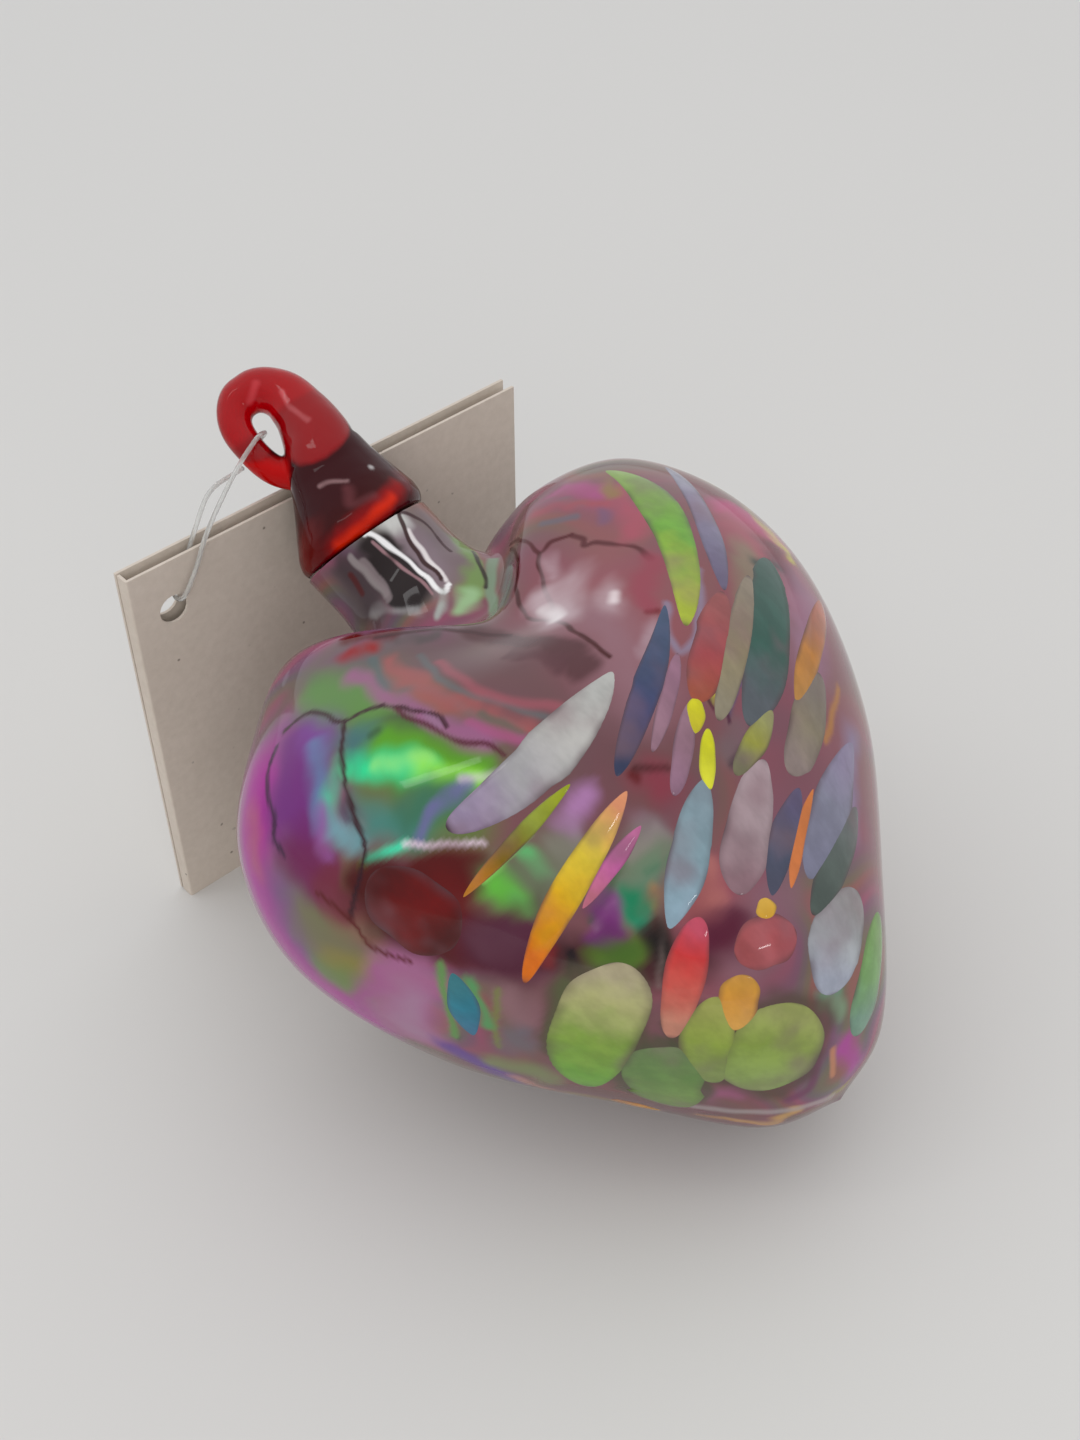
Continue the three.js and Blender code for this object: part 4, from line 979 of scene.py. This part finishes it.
    ((66, 28, 34), 0.8, 0.8, 0.9, (-41.3, 6.63), (-27, 6.75), (-16, 6.6), (-6, 5.92)),
    ((84, 76, 76), 1.4, 0.8, 0.8, (-36.5, 6.45), (-23.3, 6.56)),
]


def pushed(points, size, amount):
    """The points moved by a smooth noise whose waves are about size millimetres long."""
    return points + amount * np.array([tuple(noise.noise_vector(Vector(p) / size)) for p in points])


def on_surface(stops):
    stops = np.asarray(stops, float)
    return surface(np.radians(stops[:, 0]), stops[:, 1])


def stroke_line(stops, spacing, place):
    """Points along the curve through the stops, which place turns into millimetres."""
    spans = np.linalg.norm(np.diff(place(stops), axis=0), axis=1)
    share = np.linspace(0, 1, 2 + int(len(spans) * np.max(spans, initial=0) / spacing))
    return place(curve_through(stops, share) if len(stops) > 1 else stops)


def lay_on(mesh, points, strokes, place):
    """Keeps on the mesh the colour of the strokes over its first points, and how much of it shows."""
    colour, share = np.zeros((len(points), 3)), np.zeros(len(points))
    fine = pushed(points, 2.5, 0.35)
    broad = pushed(pushed(points, 6, 1.6), 2, 0.6)
    for tint, width, soft, strength, *stops in strokes:
        line = stroke_line(stops, min(1.0, width / 3), place)
        half = width / 2
        reach = half * (1 + soft)
        where = broad if width > 1.3 else fine
        near = np.all((where > line.min(axis=0) - reach) & (where < line.max(axis=0) + reach), axis=1)
        if not near.any():
            continue
        gap = np.min(np.linalg.norm(where[near][:, None] - line[None], axis=2), axis=1)
        rise = np.clip((reach - gap) / (2 * half * soft), 0, 1)
        over = rise * rise * (3 - 2 * rise) * strength
        under = share[near] * (1 - over)
        total = np.maximum(over + under, 1e-6)
        tint = np.array(under_gloss(*tint)[:3])
        colour[near] = (tint * over[:, None] + colour[near] * under[:, None]) / total[:, None]
        share[near] = over + under
    values = np.zeros((len(mesh.vertices), 4))
    values[: len(points)] = np.concatenate([colour, share[:, None]], axis=1)
    layer = mesh.color_attributes.new("laid_on", "FLOAT_COLOR", "POINT")
    layer.data.foreach_set("color", values.ravel())


def body_paint():
    paint = Paint("heart_glass", roughness=0.05, specular=0.35)
    where = paint.heart_place()
    smoke = paint.noise(paint.warped(where, 0.018, 0.006), 0.03, 3.0)
    colour = paint.mix(smoke, under_gloss(104, 68, 72), under_gloss(138, 90, 94))
    field = paint.noise(paint.warped(where, 0.03, 0.02), 0.028, 1.0)
    turns = paint.math("FRACT", paint.math("MULTIPLY", field, 7.0))
    film = paint.ramp(turns, FILM)
    share = paint.steps(paint.noise(where, 0.035, 1.0), 0.42, 0.62, 0.1, 0.6)
    colour = paint.mix(share, colour, film)
    laid, strength = paint.laid_on()
    paint.set("Base Color", paint.mix(strength, colour, laid))
    split = paint.nodes.new("ShaderNodeSeparateXYZ")
    paint.links.new(where, split.inputs[0])
    foot = (NECK_HEIGHT - NECK_LENGTH) * MM
    paint.set("Transmission Weight", paint.steps(split.outputs[2], foot, foot + 0.003, 0.06, 0.1))
    paint.bump(paint.noise(where, 0.012, 1.0), 0.25, 0.35)
    return paint


def chip_paint(name, tints, order):
    paint = Paint(name, roughness=0.05, specular=0.35)
    along, across = paint.laid()
    where = paint.vector("ADD", paint.heart_place(), (order * 0.013, 0, order * 0.007))
    drift = paint.math("SUBTRACT", paint.noise(where, 0.004, 2.0), 0.5)
    place = paint.math("MULTIPLY_ADD", drift, 0.3, along)
    stops = [((i + 0.5) / len(tints), under_gloss(*tint)) for i, tint in enumerate(tints)]
    colour = paint.ramp(place, stops, "LINEAR")
    streaks = paint.noise(paint.vector("MULTIPLY", where, (1, 1, 0.5)), 0.0024, 3.0, 0.6)
    shade = paint.steps(streaks, 0.3, 0.75, 0.84, 1.06)
    colour = paint.vector("MULTIPLY", colour, paint.vector("SCALE", (1, 1, 1), scale=shade))
    cloud = paint.steps(paint.noise(where, 0.008, 2.0), 0.5, 0.75, 0.0, 0.5)
    colour = paint.mix(cloud, colour, under_gloss(126, 96, 104))
    # The rim, and more its outer edge, are darkened: painted shade round the chip's edge, where it stands
    # off the glass
    side = paint.math("ABSOLUTE", paint.math("SUBTRACT", across, 0.5))
    end = paint.math("ABSOLUTE", paint.math("SUBTRACT", along, 0.5))
    rim = paint.math("MAXIMUM", paint.steps(side, 0.3, 0.5), paint.steps(end, 0.45, 0.5))
    strength = paint.steps(paint.noise(where, 0.004, 1.0), 0.35, 0.65, 0.3, 0.8)
    colour = paint.mix(paint.math("MULTIPLY", rim, strength), colour, rgb(78, 54, 60))
    edge = paint.math("MAXIMUM", paint.steps(side, 0.43, 0.5), paint.steps(end, 0.475, 0.5))
    colour = paint.mix(edge, colour, rgb(44, 26, 30))
    paint.set("Base Color", colour)
    paint.bump(paint.noise(where, 0.005, 1.0), 0.1, 0.3)
    return paint


# What is painted on the cap and loop, with places in the heart's own frame
CAP_STROKES = [
    ((196, 10, 20), 5, 0.4, 0.9, (-5.3, -2, 98.8), (-6.4, -1, 102)),
    ((108, 12, 24), 7, 0.6, 0.95, (-8.8, -1.9, 88.2), (-8.4, -3.1, 86.3)),
    ((92, 10, 20), 3.6, 0.9, 0.9, (-7.5, -4.3, 89.1)),
    ((64, 16, 20), 3.4, 1, 0.8, (-5.4, -7.1, 88.3), (-2.9, -8.4, 87.7), (3, -8, 88.6)),
    ((110, 34, 40), 2.6, 0.9, 0.8, (6.2, -5.9, 89), (5.7, -6.5, 87.2)),
    # Painted glow of light along the rim, orange-red at its core
    ((150, 28, 18), 2.4, 0.9, 0.9,
     (-6.4, -6.2, 86), (-3.5, -7.9, 85.3), (0.1, -8.6, 85.7), (3.7, -7.9, 87)),
    ((216, 50, 10), 1.2, 1, 0.95, (-6, -6.4, 85.9), (-3.2, -7.9, 85.5), (0.4, -8.6, 86), (2.4, -8.2, 86.6)),
    # Painted highlights: a pale swoosh, a white line and a dot on the stem, and bright lines up the loop
    ((110, 60, 64), 1.2, 1, 0.6, (-1.2, -8, 90.5), (-2.1, -8.4, 88.5), (0.6, -8.6, 87.6)),
    ((190, 150, 152), 0.5, 1, 0.5, (-3.2, -6.7, 93.2), (-1.9, -7.3, 92.8), (-0.4, -7.9, 91.4)),
    ((240, 236, 236), 0.6, 1, 0.9, (3.1, -7.5, 91.4)),
    ((240, 120, 124), 0.6, 1, 0.8, (1.3, -5.9, 106.5), (0.7, -6, 104.1), (1.2, -7, 101)),
    ((236, 90, 96), 0.8, 1, 0.7, (-0.3, -5.2, 109.5), (-1.9, -4.1, 108.6)),
]


def red_glass():
    """Dark glass up to a slanting, wavy line round the stem, and clear red glass above it."""
    paint = Paint("red_glass", roughness=0.03, specular=0.15)
    slant = (-0.086, -1.367, 1)
    dark_to, clear_from = 0.1052, 0.1064
    where = paint.heart_place()
    wave = paint.math("MULTIPLY", paint.math("SUBTRACT", paint.noise(where, 0.006, 2.0), 0.5), 0.002)
    up_front = paint.math("ADD", paint.vector("DOT_PRODUCT", where, slant), wave)
    clear = paint.steps(up_front, dark_to, clear_from)
    colour = paint.mix(clear, rgb(54, 6, 12), rgb(190, 0, 12))
    laid, strength = paint.laid_on()
    paint.set("Base Color", paint.mix(strength, colour, laid))
    paint.set("Transmission Weight", paint.math("MULTIPLY_ADD", clear, 0.45, 0.05))
    paint.bump(paint.noise(where, 0.003, 1.0), 0.3, 0.5)
    return paint


def card_paint():
    paint = Paint("card", roughness=0.9, specular=0.25, ior=1.45)
    flecks_in_a_metre = 420
    where = paint.place()
    fibre = paint.noise(where, 0.0012, 5.0, 0.65)
    cloud = paint.noise(where, 0.02, 3.0)
    colour = paint.mix(fibre, rgb(200, 188, 175), rgb(222, 211, 199))
    colour = paint.mix(paint.steps(cloud, 0.35, 0.7, 0.0, 0.25), colour, rgb(192, 181, 167))
    fleck = paint.nodes.new("ShaderNodeTexVoronoi")
    fleck.inputs["Scale"].default_value = flecks_in_a_metre
    paint.feed(fleck.inputs["Vector"], paint.warped(where, 0.002, 0.0008))
    lone = paint.steps(fleck.outputs["Distance"], 0.06, 0.13, 1.0, 0.0)
    pick = paint.steps(paint.noise(where, 0.005, 2.0), 0.52, 0.58)
    share = paint.math("MULTIPLY", paint.math("MULTIPLY", lone, pick), 0.65)
    paint.set("Base Color", paint.mix(share, colour, rgb(90, 78, 66)))
    paint.bump(fibre, 0.05, 0.6)
    return paint


def nylon_paint():
    paint = Paint("clear_nylon", roughness=0.12)
    where = paint.place()
    cloud = paint.noise(where, 0.003, 2.0)
    paint.set("Base Color", paint.mix(cloud, rgb(222, 222, 218), rgb(240, 240, 238)))
    paint.set("Transmission Weight", 0.7)
    return paint


heart = make_heart()
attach(heart, "heart")
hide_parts("heart_body")
body_paint().onto(heart)

cap = make_cap_loop()
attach(cap, "heart")
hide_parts("cap_loop")
red_glass().onto(cap)

for order, (name, width, stops, tints) in enumerate(CHIPS):
    piece = chip_patch(name, width, stops, order)
    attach(piece, "heart")
    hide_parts(name)
    chip_paint(name, tints, order).onto(piece)

card = card_paint()
for leaf in ("tag_front_leaf", "tag_back_leaf"):
    card.onto(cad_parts[leaf])

string, string_path, string_length = make_string()
nylon_paint().onto(string)
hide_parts("tag_string")
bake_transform(string)


def make_floor():
    reach = 3000
    corners = [(-reach, -reach, 0), (reach, -reach, 0), (reach, reach, 0), (-reach, reach, 0)]
    floor = add_mesh("floor", corners, [(0, 1, 2, 3)])
    paint = Paint("floor", roughness=0.6, specular=0.3)
    cloud = paint.noise(paint.place(), 0.4, 2.0)
    paint.set("Base Color", paint.mix(cloud, rgb(212, 210, 207), rgb(215, 214, 211)))
    paint.onto(floor)


def aim(obj, place, target):
    obj.location = Vector(place) * MM
    obj.rotation_euler = (Vector(target) * MM - Vector(place) * MM).to_track_quat("-Z", "Y").to_euler()


def add_light(name, place, target, size, power, colour=(1, 1, 1), glossy=True):
    data = bpy.data.lights.new(name, "AREA")
    data.shape = "RECTANGLE"
    data.size, data.size_y = size[0] * MM, size[1] * MM
    data.energy = power
    data.color = colour
    obj = bpy.data.objects.new(name, data)
    bpy.context.scene.collection.objects.link(obj)
    obj.visible_glossy = glossy
    aim(obj, place, target)


def make_world():
    """A pale room: brightest overhead and towards the back, dimmer on the camera's side."""
    world = bpy.data.worlds.new("room")
    bpy.context.scene.world = world
    world.use_nodes = True
    nodes, links = world.node_tree.nodes, world.node_tree.links
    heading = nodes.new("ShaderNodeTexCoord")
    towards = nodes.new("ShaderNodeVectorMath")
    towards.operation = "DOT_PRODUCT"
    towards.inputs[1].default_value = Vector((0.35, 0.55, 0.75)).normalized()
    level = nodes.new("ShaderNodeMapRange")
    level.interpolation_type = "SMOOTHSTEP"
    dimmest, brightest = 0.55, 0.95
    for socket, number in zip(level.inputs[1:5], (-0.5, 0.9, dimmest, brightest)):
        socket.default_value = number
    back = nodes["Background"]
    back.inputs["Color"].default_value = (0.97, 0.98, 1.0, 1)
    links.new(heading.outputs["Generated"], towards.inputs[0])
    links.new(towards.outputs["Value"], level.inputs[0])
    links.new(level.outputs[0], back.inputs["Strength"])


def reflected(name, point, heading, distance, size, power):
    """A light that shows in the glass at a point (millimetres), seen along a reflected heading."""
    place = Vector(point) + Vector(heading).normalized() * distance
    add_light(name, place, point, size, power)


make_floor()
make_world()
warm = (1.0, 0.98, 0.96)
add_light("overhead", (60, 60, 1200), LIT_PLACE, (900, 900), 0.9, warm, glossy=False)
add_light("fill", (-500, -650, 420), LIT_PLACE, (500, 500), 2.0, warm, glossy=False)
reflected("strip", (-23.7, -11.7, 55.3), (-0.40, 0.30, 0.86), 700, (60, 260), 0.12)
reflected("near_window", (-7.4, -42.8, 38), (-0.079, -0.91, 0.408), 700, (100, 12), 0.06)
bpy.context.scene.view_settings.view_transform = "Standard"
